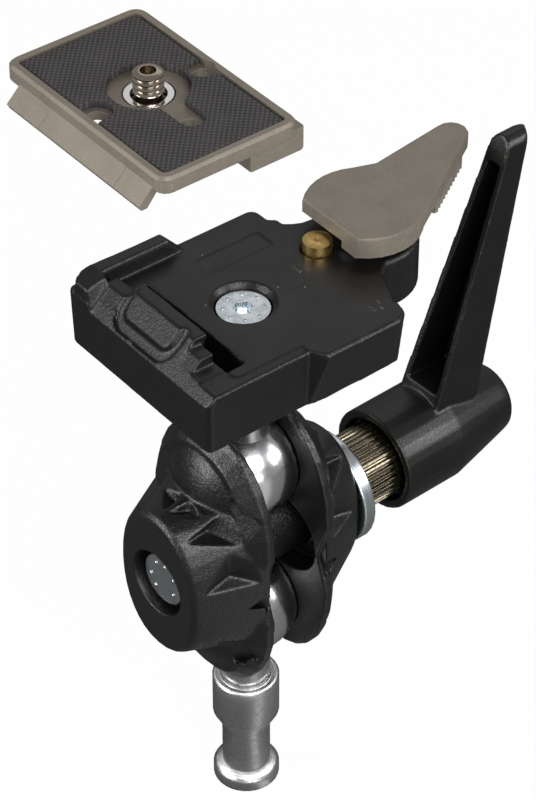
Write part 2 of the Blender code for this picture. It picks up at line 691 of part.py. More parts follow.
def make_shell(name, side, body, finish):
    """One clamp casting: a rim flange, two domes over the balls and an oval boss."""
    top = SHELL_DEPTH if side > 0 else SHELL_DEPTH + FRONT_FACE_EXTRA
    flange = loft([
        shell_ring(side, 0, SHELL_HALF_WIDTH, SHELL_HALF_HEIGHT, RIM_POWER, WAIST_SHARE),
        shell_ring(side, RIM_BAND, SHELL_HALF_WIDTH, SHELL_HALF_HEIGHT, RIM_POWER, WAIST_SHARE),
        shell_ring(side, RIM_BAND + RIM_SHOULDER, SHELL_HALF_WIDTH - RIM_TAPER,
                   SHELL_HALF_HEIGHT - RIM_TAPER, RIM_POWER, WAIST_SHARE),
    ])
    shell = make_object(name, flange, body, finish)
    root = BITE
    boss = loft([
        shell_ring(side, root, BOSS_ROOT_HALF_WIDTH, BOSS_ROOT_HALF_HEIGHT, BOSS_ROOT_POWER),
        shell_ring(side, top - FACE_ROUND, FACE_HALF_WIDTH + FACE_ROUND / 2,
                   FACE_HALF_HEIGHT + FACE_ROUND / 2, BOSS_POWER),
        shell_ring(side, top, FACE_HALF_WIDTH - FACE_ROUND / 2, FACE_HALF_HEIGHT - FACE_ROUND / 2,
                   BOSS_POWER),
    ])
    join(shell, "boss", boss, body)
    for label, z in (("lower", LOWER_BALL_Z), ("upper", UPPER_BALL_Z)):
        start = SHELL_GAP / 2 + BITE
        cap = ball_arc(0, DOME_SKIRT_START, DOME_R, DOME_R, DOME_STEPS)
        skirt_top = SHELL_GAP / 2 + DOME_SKIRT_DEPTH
        profile = [(0, start), (DOME_SKIRT_R, start), (DOME_SKIRT_R, skirt_top)] + cap
        if side < 0:
            profile = [(r, -h) for r, h in reversed(profile)]
        join(shell, f"dome_{label}", turned(profile, vertical(z), "X", ROUND_STEPS), body)
    pits = (("crown_pit", CROWN_PIT_SHARES, (-1, 1)), ("flank_pit", FLANK_PIT_SHARES, (-1, 1)),
            ("waist_pit", WAIST_PIT_SHARES, (1,)), ("lower_pit", LOWER_PIT_SHARES, (1,)))
    for label, shares, levels in pits:
        for across in (-1, 1):
            for up in levels:
                cut(shell, label, pit(side, top, shares, across, up), body)
    pocket = [(y, BOLT_Z + z) for y, z in oval(SHELL_POCKET_HALF_WIDTH, SHELL_POCKET_HALF_HEIGHT,
                                               BOSS_POWER)]
    rim = side * SHELL_GAP / 2
    ends = sorted((rim - side * OVERRUN, rim + side * SHELL_POCKET_DEPTH))
    cut(shell, "spring_pocket", prism(pocket, *ends, plane="yz"), body)
    if side > 0:
        seat_end = -SHELL_GAP / 2 + SEAT_BOSS_GAP
        floor = rim + SHELL_POCKET_DEPTH
        axis = vertical(BOLT_Z)
        join(shell, "seat_boss", bar(SEAT_BOSS_R, seat_end, floor + BITE, axis, "X", BORE_STEPS), body)
        cut(shell, "seat_bore", bar(SEAT_BORE_R, seat_end - OVERRUN, floor, axis, "X", BORE_STEPS), body)
    for label, z in (("lower", LOWER_BALL_Z), ("upper", UPPER_BALL_Z)):
        profile = ball_arc(0, -SOCKET_R, SOCKET_R, SOCKET_R, SOCKET_STEPS)
        cut(shell, f"socket_{label}", turned(profile, vertical(z), "X", BORE_STEPS), body)
    face = side * (SHELL_GAP / 2 + top)
    reach = sorted((rim - side * OVERRUN, face + side * OVERRUN))
    cut(shell, "bolt_bore", bar(BOLT_R + FIT, *reach, vertical(BOLT_Z), "X"), body)
    if side < 0:
        depth = sorted((face - OVERRUN, face + HEAD_RECESS_DEPTH))
        cut(shell, "head_recess", bar(HEAD_RECESS_R, *depth, vertical(BOLT_Z), "X", ROUND_STEPS), body)
    return shell


def washer_x():
    return SHELL_GAP / 2 + SHELL_DEPTH + FIT


def nut_x():
    return washer_x() + WASHER_THICKNESS + FIT


def make_clamp_bolt(body, finish):
    """The bolt that draws the shells together, head flush in the front face."""
    face = -(SHELL_GAP / 2 + SHELL_DEPTH + FRONT_FACE_EXTRA)
    low = face + BOLT_HEAD_SUNK
    seat = face + HEAD_RECESS_DEPTH - FIT
    tip = nut_x() + BOLT_REACH_IN_NUT
    profile = [(0, low), (BOLT_HEAD_R - BOLT_HEAD_CHAMFER, low), (BOLT_HEAD_R, low + BOLT_HEAD_CHAMFER),
               (BOLT_HEAD_R, seat), (BOLT_R, seat), (BOLT_R, tip - BITE), (BOLT_R - BITE, tip), (0, tip)]
    return make_object("clamp_bolt", turned(profile, vertical(BOLT_Z), "X", SMALL_STEPS), body, finish)


def make_thrust_washer(body, finish):
    low = washer_x()
    high = low + WASHER_THICKNESS
    inner = BOLT_R + FIT
    profile = [(inner, low), (WASHER_R - WASHER_EDGE, low), (WASHER_R, low + WASHER_EDGE),
               (WASHER_R, high - WASHER_EDGE), (WASHER_R - WASHER_EDGE, high), (inner, high)]
    return make_object("thrust_washer", turned(profile, vertical(BOLT_Z), "X"), body, finish)


def spline_outline(tip_r, root_r):
    """A ring of straight splines about the bolt's axis."""
    points = []
    step = 2 * math.pi / NUT_SPLINES
    shares = ((0, tip_r), (SPLINE_TIP_SHARE, tip_r), (SPLINE_ROOT_SHARE, root_r),
              (SPLINE_END_SHARE, root_r))
    for tooth in range(NUT_SPLINES):
        for share, radius in shares:
            angle = step * (tooth + share)
            points.append((radius * math.cos(angle), BOLT_Z + radius * math.sin(angle)))
    return points


def make_splined_nut(body, finish):
    """The nut that the handle turns, with splines outside and a thread at each end."""
    low = nut_x()
    spline_end = low + NUT_SPLINE_LENGTH
    end = spline_end + NUT_NOSE_LENGTH
    nut = make_object("splined_nut", prism(spline_outline(NUT_TIP_R, NUT_ROOT_R), low, spline_end, "yz"),
                      body, finish)
    join(nut, "nose", bar(NUT_NOSE_R, spline_end - BITE, end, vertical(BOLT_Z), "X"), body)
    bore_end = low + BOLT_REACH_IN_NUT + FIT
    cut(nut, "bolt_bore", bar(BOLT_R + FIT, low - OVERRUN, bore_end, vertical(BOLT_Z), "X"), body)
    cut(nut, "screw_bore", bar(SCREW_R + FIT, bore_end + NUT_WEB, end + OVERRUN, vertical(BOLT_Z), "X"),
        body)
    return nut


def hub_x():
    return SHELL_GAP / 2 + SHELL_DEPTH + WASHER_THICKNESS + 2 * FIT + HANDLE_STANDOFF


def web_x():
    """Where the hub's inner web starts, just past the nut's nose."""
    return nut_x() + NUT_SPLINE_LENGTH + NUT_NOSE_LENGTH + FIT


def make_clamp_handle(body, finish):
    """The lever handle: a tapered hub with a splined bore and a leaning channel arm."""
    low = hub_x()
    barrel = low + HUB_BARREL
    cone = barrel + HUB_CONE
    end = cone + HUB_END_ROUND
    profile = [(0, low), (HUB_R, low), (HUB_R, barrel), (HUB_END_R, cone)]
    for angle in np.linspace(0, math.pi / 2, 4)[1:]:
        profile.append((HUB_END_R - HUB_END_ROUND * (1 - math.cos(angle)),
                        cone + (end - cone) * math.sin(angle)))
    profile.append((0, end))
    handle = make_object("clamp_handle", turned(profile, vertical(BOLT_Z), "X"), body, finish)

    arm_root = BOLT_Z + ARM_ROOT_RISE

    def arm_ring(z, front_x, back_x, half_width):
        round_r = min(ARM_WALL, half_width / 2)
        corners = [(front_x, -half_width, 0), (back_x, -half_width, round_r),
                   (back_x, half_width, round_r), (front_x, half_width, 0)]
        return [(x, y, z) for x, y in rounded(corners, 2)]

    def arm_at(z):
        share = (z - arm_root) / (ARM_TIP_Z - arm_root)
        front = ARM_ROOT_X + share * (ARM_TIP_X - ARM_ROOT_X)
        depth = ARM_ROOT_DEPTH + share * (ARM_TIP_DEPTH - ARM_ROOT_DEPTH)
        half = ARM_ROOT_HALF_WIDTH + share * (ARM_TIP_HALF_WIDTH - ARM_ROOT_HALF_WIDTH)
        return front, front + depth, half

    straight = ARM_TIP_Z - ARM_TIP_HALF_WIDTH
    rings = [arm_ring(arm_root, *arm_at(arm_root)), arm_ring(straight, *arm_at(straight))]
    for angle in np.linspace(0, math.pi / 2, 5)[1:]:
        z = straight + (ARM_TIP_Z - straight) * math.sin(angle)
        front, back, half = arm_at(z)
        rings.append(arm_ring(z, front, back, half * max(math.cos(angle), ARM_TIP_SHARE)))
    join(handle, "arm", loft(rings), body)

    def channel_ring(z):
        front, back, half = arm_at(z)
        inner = half - ARM_WALL
        return [(front - OVERRUN, -inner, z), (back - ARM_WEB, -inner, z), (back - ARM_WEB, inner, z),
                (front - OVERRUN, inner, z)]

    cut(handle, "channel", loft([channel_ring(CHANNEL_LOW_Z), channel_ring(CHANNEL_HIGH_Z)]), body)
    axis = vertical(BOLT_Z)
    cut(handle, "mouth", bar(HUB_MOUTH_R, low - OVERRUN, low + HUB_MOUTH_DEPTH, axis, "X", BORE_STEPS), body)
    teeth = spline_outline(NUT_TIP_R + FIT, NUT_ROOT_R + FIT)
    teeth_low = low + HUB_MOUTH_DEPTH - BITE
    teeth_high = low + HUB_MOUTH_DEPTH + HUB_SPLINE_LENGTH + BITE
    cut(handle, "spline_bore", prism(teeth, teeth_low, teeth_high, "yz"), body)
    room_low = low + HUB_MOUTH_DEPTH + HUB_SPLINE_LENGTH
    cut(handle, "nut_room", bar(NUT_TIP_R + 2 * RUNNING_FIT, room_low, web_x(), axis, "X", BORE_STEPS), body)
    cut(handle, "screw_hole", bar(SCREW_R + RUNNING_FIT, web_x() - OVERRUN, web_x() + HUB_WEB + OVERRUN,
                                  axis, "X"), body)
    cut(handle, "spring_well", bar(HUB_WELL_R, web_x() + HUB_WEB, end + OVERRUN, axis, "X"), body)
    return handle


def make_handle_screw(body, finish):
    """The cap screw that keeps the handle on its nut, turned from the hub's outer end."""
    head = web_x() + HUB_WEB + HANDLE_SPRING_LENGTH + 2 * FIT
    tip = web_x() - FIT - SCREW_REACH
    top = head + SCREW_HEAD_HEIGHT
    profile = [(0, tip), (SCREW_R, tip), (SCREW_R, head), (SCREW_HEAD_R, head), (SCREW_HEAD_R, top), (0, top)]
    axis = vertical(BOLT_Z)
    screw = make_object("handle_screw", turned(profile, axis, "X", SMALL_STEPS), body, finish)
    cut(screw, "socket", bar(SCREW_SOCKET_R, top - SCREW_SOCKET_DEPTH, top + OVERRUN, axis, "X", HEX_SIDES),
        body)
    return screw


def slope_z(x):
    """Height of the lip's outer slope above the deck's left edge."""
    share = (x - DECK_LEFT_X) / (LIP_SLOPE_X - DECK_LEFT_X)
    return DECK_Z - LIP_EDGE_DROP + share * (LIP_EDGE_DROP + JAW_HEIGHT)


def make_platform(body, finish):
    """The platform casting: deck, jaw, rib, chin, lobe and the wells for its mechanism."""
    deck = rounded([
        (DECK_LEFT_X, DECK_FRONT_Y, DECK_CORNER), (DECK_RIGHT_X, DECK_FRONT_Y, DECK_CORNER),
        (DECK_RIGHT_X, BAY_FOOT_Y, 0), (BAY_X, BAY_FOOT_Y + DECK_CORNER, 0), (BAY_X, BAY_Y, 0),
        (SHOULDER_X, SHOULDER_Y, 0), (SHOULDER_X, DECK_BACK_Y, DECK_BACK_CORNER),
        (RIB_RIGHT_X, DECK_BACK_Y, 0), (RIB_RIGHT_X - RIB_END_SLOPE, RIB_END_Y, 0),
        (DECK_LEFT_X, DECK_STEP_Y, DECK_CORNER),
    ])
    under = PLATFORM_UNDER_Z
    block = layered(deck, [(under, -DECK_FOOT_INSET - DECK_EDGE_ROUND), (under + DECK_EDGE_ROUND,
                    -DECK_FOOT_INSET), (DECK_Z - DECK_EDGE_ROUND, 0), (DECK_Z, -DECK_EDGE_ROUND)])
    platform = make_object("platform", block, body, finish)

    # The chin stands proud of the front edge and fades out towards the foot
    chin_top = [(CHIN_START_X, DECK_FRONT_Y + DECK_CORNER), (CHIN_START_X, DECK_FRONT_Y),
                (CHIN_FULL_X, CHIN_FRONT_Y), (DECK_RIGHT_X - 2 * DECK_CORNER, CHIN_FRONT_Y),
                (DECK_RIGHT_X - DECK_CORNER / 2, CHIN_FRONT_Y + DECK_CORNER),
                (DECK_RIGHT_X, DECK_FRONT_Y + DECK_CORNER)]
    chin_reach = CHIN_FRONT_Y - DECK_FRONT_Y

    def chin_ring(z, share, inset):
        return [(x, DECK_FRONT_Y + (y - DECK_FRONT_Y) * share + inset if y < DECK_FRONT_Y else y, z)
                for x, y in chin_top]

    foot_share = CHIN_FOOT_SHARE
    join(platform, "chin", loft([
        chin_ring(under + DECK_EDGE_ROUND, foot_share, 0),
        chin_ring(DECK_Z - DECK_EDGE_ROUND, 1, 0),
        chin_ring(DECK_Z, 1 + DECK_EDGE_ROUND / chin_reach, 0),
    ]), body)

    # Lobe and the web that ties it to the deck
    lobe_low = DECK_Z - LOBE_HEIGHT
    lobe = arc((PIVOT_X, PIVOT_Y), LOBE_R, LOBE_FROM, LOBE_TO, 22)
    web_x_inside = DECK_RIGHT_X - LOBE_ROOT_OVERLAP
    lobe += [(WEB_SWEEP_X, WEB_SWEEP_Y), (WEB_BAY_X, WEB_BAY_Y), (WEB_INNER_X, WEB_INNER_Y),
             (web_x_inside, WEB_INNER_Y), (web_x_inside, LOBE_NOTCH_Y), (LOBE_NOTCH_X, LOBE_NOTCH_Y),
             (LOBE_ROOT_X, LOBE_ROOT_Y)]
    join(platform, "lobe", layered(lobe, [(lobe_low, -DECK_EDGE_ROUND), (lobe_low + DECK_EDGE_ROUND, 0),
                                          (DECK_Z - DECK_EDGE_ROUND, 0), (DECK_Z, -DECK_EDGE_ROUND)]), body)

    # Jaw with its undercut, and the lower tabs at its ends
    crest = DECK_Z + JAW_HEIGHT
    root = DECK_Z - BITE
    jaw = [(DECK_LEFT_X + BITE, root - LIP_EDGE_DROP), (DECK_LEFT_X + BITE, slope_z(DECK_LEFT_X + BITE)),
           (LIP_SLOPE_X, crest), (JAW_INNER_X, crest), (JAW_INNER_X, crest - BITE),
           (JAW_UNDERCUT_X, DECK_Z), (JAW_UNDERCUT_X, root - LIP_EDGE_DROP)]
    join(platform, "jaw", prism(jaw, JAW_FRONT_Y, JAW_BACK_Y, "xz"), body)
    tab_top = DECK_Z + JAW_TAB_HEIGHT
    tab = [(DECK_LEFT_X + OVERRUN, root - LIP_EDGE_DROP), (DECK_LEFT_X + OVERRUN, slope_z(DECK_LEFT_X
           + OVERRUN)), (JAW_TAB_X, tab_top), (JAW_TAB_INNER_X, tab_top), (JAW_TAB_INNER_X, root)]
    join(platform, "jaw_tabs", prism(tab, JAW_TAB_FRONT_Y, JAW_TAB_BACK_Y, "xz"), body)

    # Back rib
    rib_top = DECK_Z + RIB_HEIGHT
    rib = [(RIB_BACK_Y, root), (RIB_BACK_Y, rib_top - BITE), (RIB_BACK_Y - BITE, rib_top),
           (RIB_TOP_Y, rib_top),
           (RIB_TOP_Y - RIB_STEP / 2, rib_top - RIB_STEP), (RIB_FOOT_Y, DECK_Z + RIB_STEP / 2),
           (RIB_FOOT_Y, root)]
    top_end = RIB_RIGHT_X - RIB_END_SLOPE
    ribs = [[(x, min(y, back - DECK_EDGE_ROUND), min(z, limit)) for y, z in rib]
            for x, back, limit in ((RIB_LEFT_X, DECK_STEP_Y, rib_top), (top_end, RIB_END_Y, rib_top),
                                   (RIB_RIGHT_X, DECK_BACK_Y, DECK_Z - BITE / 2))]
    join(platform, "rib", loft(ribs), body)
    corner_x = DECK_LEFT_X + CORNER_INSET
    corner_y = RIB_BACK_Y - CORNER_INSET
    corner = rounded([(corner_x, CORNER_FRONT_Y, 0), (CORNER_RIGHT_X, CORNER_FRONT_Y, 0),
                      (CORNER_RIGHT_X, corner_y, 0), (corner_x, corner_y, DECK_CORNER)])
    join(platform, "rib_corner", prism(corner, root, rib_top - CORNER_INSET), body)

    # Outer slope of the lip, shaved along the left edge and flatter over the back corner
    shave_top = DECK_Z + JAW_HEIGHT + OVERRUN
    outside = DECK_LEFT_X - OVERRUN
    steep = (slope_z(outside), LIP_SLOPE_X)
    gentle = (crest - CORNER_FALL, CORNER_RIGHT_X - CORNER_INSET)
    shave = [[(outside, y, low), (outside, y, shave_top), (edge, y, shave_top), (edge, y, crest)]
             for y, (low, edge) in ((DECK_FRONT_Y - OVERRUN, steep), (CORNER_FRONT_Y, steep),
                                    (CORNER_FRONT_Y + CORNER_BLEND, gentle),
                                    (DECK_STEP_Y + OVERRUN, gentle))]
    cut(platform, "lip_slope", loft(shave), body)

    # Slot under the jaw
    cut(platform, "jaw_slot", box((JAW_UNDERCUT_X, SLOT_FRONT_Y, DECK_Z - SLOT_DEPTH),
                                  (SLOT_INNER_X, SLOT_BACK_Y, DECK_Z + BITE)), body)

    # Shallow band along the front edge, and the blank recess of the label
    front = DECK_FRONT_Y - OVERRUN
    band = [(DECK_LEFT_X - OVERRUN, front), (CHIN_START_X, front), (CHIN_START_X, BAND_Y),
            (BAND_X + BITE, BAND_Y), (BAND_X, BAND_Y + BITE), (BAND_X, SLOT_FRONT_Y + BITE),
            (DECK_LEFT_X - OVERRUN, SLOT_FRONT_Y + BITE)]
    cut(platform, "front_band", prism(band, DECK_Z - BAND_DEPTH, DECK_Z + OVERRUN), body)
    label = rounded([(x, y, LABEL_CORNER) for x, y in (
        (LABEL_LEFT_X, LABEL_FRONT_Y), (LABEL_RIGHT_X, LABEL_FRONT_Y),
        (LABEL_RIGHT_X, LABEL_BACK_Y), (LABEL_LEFT_X, LABEL_BACK_Y))], 2)
    cut(platform, "label_recess", prism(label, DECK_Z - BAND_DEPTH, DECK_Z + OVERRUN), body)

    # U-shaped groove round the tongue in the slope
    mouth = LIP_SLOPE_X + BITE
    inner_x = U_OUTER_X + U_WIDTH
    groove = rounded([
        (mouth, U_BACK_Y, 0), (U_OUTER_X, U_BACK_Y, U_CORNER), (U_OUTER_X, U_FRONT_Y, U_CORNER),
        (mouth, U_FRONT_Y, 0), (mouth, U_FRONT_Y + U_WIDTH, 0),
        (inner_x, U_FRONT_Y + U_WIDTH, U_CORNER / 2), (inner_x, U_BACK_Y - U_WIDTH, U_CORNER / 2),
        (mouth, U_BACK_Y - U_WIDTH, 0),
    ])
    cut(platform, "u_groove", loft([[(x, y, slope_z(x) + level) for x, y in groove]
                                    for level in (-U_DEPTH, OVERRUN)]), body)

    # Screw seat, pivot bore and pin well
    sink = DECK_Z - PLATFORM_SCREW_SINK
    cone = sink - PLATFORM_SCREW_RIM - (PLATFORM_SCREW_HEAD_R - PLATFORM_SCREW_R)
    hole = PLATFORM_SCREW_R + FIT
    seat = [(0, under - OVERRUN), (hole, under - OVERRUN), (hole, cone - FIT),
            (PLATFORM_SCREW_HEAD_R + FIT, sink - PLATFORM_SCREW_RIM - FIT),
            (PLATFORM_SCREW_HEAD_R + FIT, sink), (COUNTERBORE_R, DECK_Z), (COUNTERBORE_R, DECK_Z + OVERRUN),
            (0, DECK_Z + OVERRUN)]
    cut(platform, "screw_seat", turned(seat, vertical(0)), body)
    pivot = Vector((PIVOT_X, PIVOT_Y, 0))
    cut(platform, "pivot_bore", bar(PIVOT_R + FIT, lobe_low - OVERRUN, DECK_Z + OVERRUN, pivot), body)
    pin = Vector((PIN_X, PIN_Y, 0))
    join(platform, "pin_boss", bar(PIN_BOSS_R, under + FIT, lobe_low + BITE, pin), body)
    well = DECK_Z - PIN_WELL
    pin_hole = [(0, under - OVERRUN), (PIN_STEM_R + FIT, under - OVERRUN), (PIN_STEM_R + FIT, well),
                (PIN_R + FIT, well), (PIN_R + FIT, DECK_Z + OVERRUN), (0, DECK_Z + OVERRUN)]
    cut(platform, "pin_well", turned(pin_hole, pin, "Z", SMALL_STEPS), body)
    return platform


def make_platform_screw(body, finish):
    """The countersunk socket screw that holds the platform on the ball's stem."""
    top = DECK_Z - PLATFORM_SCREW_SINK
    rim = top - PLATFORM_SCREW_RIM
    cone = rim - (PLATFORM_SCREW_HEAD_R - PLATFORM_SCREW_R)
    tip = PLATFORM_UNDER_Z - FIT - PLATFORM_SCREW_REACH
    profile = [(0, tip), (PLATFORM_SCREW_R, tip), (PLATFORM_SCREW_R, cone), (PLATFORM_SCREW_HEAD_R, rim),
               (PLATFORM_SCREW_HEAD_R, top), (0, top)]
    screw = make_object("platform_screw", turned(profile, vertical(0), "Z"), body, finish)
    cut(screw, "socket", bar(PLATFORM_SOCKET_R, top - PLATFORM_SOCKET_DEPTH, top + OVERRUN, vertical(0), "Z",
                             HEX_SIDES), body)
    return screw


def make_lever_pivot(body, finish):
    """The headed pin that the cam lever turns on, put in from below the lobe."""
    under = DECK_Z - LOBE_HEIGHT - FIT
    top = DECK_Z + LEVER_TOP - LEVER_PLATE + BITE
    profile = [(0, under - PIVOT_HEAD_HEIGHT), (PIVOT_HEAD_R, under - PIVOT_HEAD_HEIGHT),
               (PIVOT_HEAD_R, under), (PIVOT_R, under), (PIVOT_R, top), (0, top)]
    return make_object("lever_pivot", turned(profile, (PIVOT_X, PIVOT_Y, 0), "Z", SMALL_STEPS), body, finish)


def lever_outline():
    """Plan of the cam lever: a disc with a flat, and an arm that tapers to a round tip."""
    pivot = Vector((PIVOT_X, PIVOT_Y))
    tip = pivot + Vector((math.cos(LEVER_TIP_AZIMUTH), math.sin(LEVER_TIP_AZIMUTH))) * LEVER_REACH
    flat_angle = math.acos(LEVER_FLAT / LEVER_R)
    front = arc(pivot, LEVER_R, math.pi + flat_angle, LEVER_FRONT_END, 9)
    reach = (tip - pivot).length
    lean = math.asin((LEVER_R - LEVER_TIP_R) / reach)
    tip_start = LEVER_TIP_AZIMUTH - math.pi / 2 + lean
    tip_end = LEVER_TIP_AZIMUTH + math.pi / 2 - lean * LEVER_TIP_LEAN_SHARE
    tip_arc = arc(tip, LEVER_TIP_R, tip_start, tip_end, 6)
    back = arc(pivot, LEVER_R, LEVER_BACK_START, math.pi - flat_angle, 7)
    waist = pivot + Vector(LEVER_WAIST_SHARES) * LEVER_R
    return front + tip_arc + [tuple(waist)] + back


def make_cam_lever(body, finish):
    """The cam lever: a top plate, a skirt on the open side and a ribbed thumb tab."""
    top = DECK_Z + LEVER_TOP
    under = top - LEVER_PLATE
    outline = lever_outline()
    turn = LEVER_EDGE * LEVER_EDGE_SHARE
    plate = layered(outline, [(under, 0), (top - LEVER_EDGE, 0), (top - turn, -turn), (top, -LEVER_EDGE)])
    lever = make_object("cam_lever", plate, body, finish)
    pivot = (PIVOT_X, PIVOT_Y)
    foot = DECK_Z + LEVER_FOOT
    lug_x = PIVOT_X - LEVER_FLAT
    lug_y = PIVOT_Y - math.sqrt(LEVER_R ** 2 - LEVER_FLAT ** 2) + SKIRT_LUG
    skirt = [(lug_x, lug_y)] + arc(pivot, LEVER_R - BITE / 2, SKIRT_FROM, SKIRT_TO, 14)
    skirt += arc(pivot, LEVER_R - SKIRT_WALL - BITE, SKIRT_TO, SKIRT_FROM, 14)
    skirt.append((lug_x + SKIRT_WALL, lug_y))
    join(lever, "skirt", prism(skirt, foot, under + BITE), body)
    boss = turned([(0, foot), (PIVOT_BOSS_R, foot), (PIVOT_BOSS_R, under + BITE), (0, under + BITE)],
                  (*pivot, 0), "Z", SMALL_STEPS)
    join(lever, "boss", boss, body)
    cut(lever, "pivot_bore", bar(PIVOT_R + FIT, foot - OVERRUN, under + BITE + FIT, (*pivot, 0)), body)

    # Thumb tab with upright serrations, hanging from the front edge near the tip
    tip = Vector(pivot) + Vector((math.cos(LEVER_TIP_AZIMUTH), math.sin(LEVER_TIP_AZIMUTH))) * LEVER_REACH
    lean = math.asin((LEVER_R - LEVER_TIP_R) / LEVER_REACH)
    edge_angle = LEVER_TIP_AZIMUTH + lean
    forward = Vector((math.cos(edge_angle), math.sin(edge_angle)))
    outward = Vector((forward.y, -forward.x))
    start = tip + outward * LEVER_TIP_R - forward * (TAB_LENGTH + TAB_TIP_GAP)
    step = TAB_LENGTH / TAB_TEETH
    outer = []
    for tooth in range(TAB_TEETH):
        outer.append(start + forward * (step * tooth) - outward * TAB_TOOTH)
        outer.append(start + forward * (step * (tooth + 0.5)))
    outer.append(start + forward * TAB_LENGTH - outward * TAB_TOOTH)
    inner = [start + forward * TAB_LENGTH - outward * TAB_THICKNESS, start - outward * TAB_THICKNESS]
    tab = [tuple(point) for point in outer + inner]
    join(lever, "thumb_tab", prism(tab, under - TAB_DROP, under + BITE), body)
    return lever


def make_trigger_pin(body, finish):
    """The brass pin that the seated plate presses down."""
    top = DECK_Z + PIN_PROUD
    low = top - PIN_LENGTH
    tip = PLATFORM_UNDER_Z - PIN_STEM_BELOW
    groove_top = PLATFORM_UNDER_Z - CLIP_BELOW + FIT
    groove_low = groove_top - CLIP_THICKNESS - 2 * FIT
    profile = [(0, tip), (PIN_STEM_R, tip), (PIN_STEM_R, groove_low), (CLIP_GROOVE_R, groove_low),
               (CLIP_GROOVE_R, groove_top), (PIN_STEM_R, groove_top), (PIN_STEM_R, low), (PIN_R, low),
               (PIN_R, top - PIN_CROWN_STEP), (PIN_CROWN_R, top), (PIN_DOT_R, top),
               (0, top - PIN_CROWN_STEP)]
    return make_object("trigger_pin", turned(profile, (PIN_X, PIN_Y, 0), "Z", SMALL_STEPS), body, finish)


def make_pin_clip(body, finish):
    """The open clip in the pin's groove, which stops it from leaving its well."""
    high = PLATFORM_UNDER_Z - CLIP_BELOW
    low = high - CLIP_THICKNESS
    inner_r = CLIP_GROOVE_R + FIT
    half = math.asin(CLIP_MOUTH / 2 / CLIP_R)
    inner_half = math.asin(CLIP_MOUTH / 2 / inner_r)
    outline = arc((PIN_X, PIN_Y), CLIP_R, half, 2 * math.pi - half, 16)
    outline += arc((PIN_X, PIN_Y), inner_r, 2 * math.pi - inner_half, inner_half, 12)
    return make_object("pin_clip", prism(outline, low, high), body, finish)


def plate_outline():
    right = PLATE_LEFT_X + PLATE_WIDTH
    back = PLATE_FRONT_Y + PLATE_LENGTH
    return rounded([(PLATE_LEFT_X, PLATE_FRONT_Y, PLATE_CORNER), (right, PLATE_FRONT_Y, PLATE_CORNER),
                    (right, back, PLATE_CORNER), (PLATE_LEFT_X, back, PLATE_CORNER)])


def make_quick_plate(body, finish):
    """The camera plate: a rimmed tray, a dovetail flank at the jaw side and two feet."""
    top = PLATE_TOP_Z
    low = top - PLATE_RIM_HEIGHT
    right = PLATE_LEFT_X + PLATE_WIDTH
    back = PLATE_FRONT_Y + PLATE_LENGTH
    outline = plate_outline()
    slab = layered(outline, [(low, -PLATE_EDGE), (low + PLATE_EDGE, 0), (top - PLATE_EDGE, 0),
                             (top, -PLATE_EDGE)])
    plate = make_object("quick_plate", slab, body, finish)
    flank_low = top - FLANK_DROP
    flank = [(PLATE_LEFT_X + FLANK_WALL, low + BITE), (PLATE_LEFT_X + BITE / 2, low + 2 * BITE),
             (PLATE_LEFT_X - FLANK_REACH, flank_low + FLANK_LIP), (PLATE_LEFT_X - FLANK_REACH + FLANK_LIP / 2,
             flank_low), (PLATE_LEFT_X - FLANK_REACH + FLANK_WALL, flank_low)]
    join(plate, "flank", prism(flank, FLANK_FRONT_Y, FLANK_BACK_Y, "xz"), body)
    rail_low = top - FLANK_DROP
    rail = [(right - FLANK_WALL, low + BITE), (right - BITE / 2, low + 2 * BITE),
            (right + FOOT_REACH, rail_low + FLANK_LIP), (right + FOOT_REACH - FLANK_LIP / 2, rail_low),
            (right + FOOT_REACH - FLANK_WALL, rail_low)]
    join(plate, "rail", prism(rail, PLATE_FRONT_Y + PLATE_CORNER, back - PLATE_CORNER, "xz"), body)
    foot_low = top - FOOT_DROP
    for label, y in (("front", PLATE_FRONT_Y), ("back", back - FOOT_DEPTH)):
        foot = rounded([(FOOT_START_X, y + PLATE_EDGE, PLATE_EDGE), (right + FOOT_REACH - PLATE_EDGE,
                       y + PLATE_EDGE, PLATE_EDGE), (right + FOOT_REACH - PLATE_EDGE,
                       y + FOOT_DEPTH - PLATE_EDGE, PLATE_EDGE),
                       (FOOT_START_X, y + FOOT_DEPTH - PLATE_EDGE, PLATE_EDGE)], 2)
        join(plate, f"foot_{label}", layered(foot, [(foot_low, -PLATE_EDGE / 2), (foot_low + PLATE_EDGE, 0),
                                                    (low + 2 * BITE, 0)]), body)
    tray = grown(outline, -PLATE_RIM_WALL)
    cut(plate, "pad_tray", prism(tray, top - PLATE_PAD_SEAT, top + OVERRUN), body)
    centre = Vector((KEYHOLE_X, KEYHOLE_Y, 0))
    cut(plate, "screw_hole", bar(SCREW_HOLE_R, low - OVERRUN, top + OVERRUN, centre), body)
    disc_low = top - PLATE_PAD_SEAT - WASHER_DISC_HEIGHT
    cut(plate, "washer_seat", bar(WASHER_DISC_R + FIT, disc_low - FIT, top + OVERRUN, centre), body)
    for label, x, y in (("left", LEFT_HOLE_X, LEFT_HOLE_Y), ("right", RIGHT_HOLE_X, RIGHT_HOLE_Y),
                        ("front", KEYHOLE_X, KEYHOLE_END_Y)):
        cut(plate, f"hole_{label}", bar(PLATE_HOLE_R, foot_low - OVERRUN, top + OVERRUN, (x, y, 0), "Z", 16),
            body)
    return plate


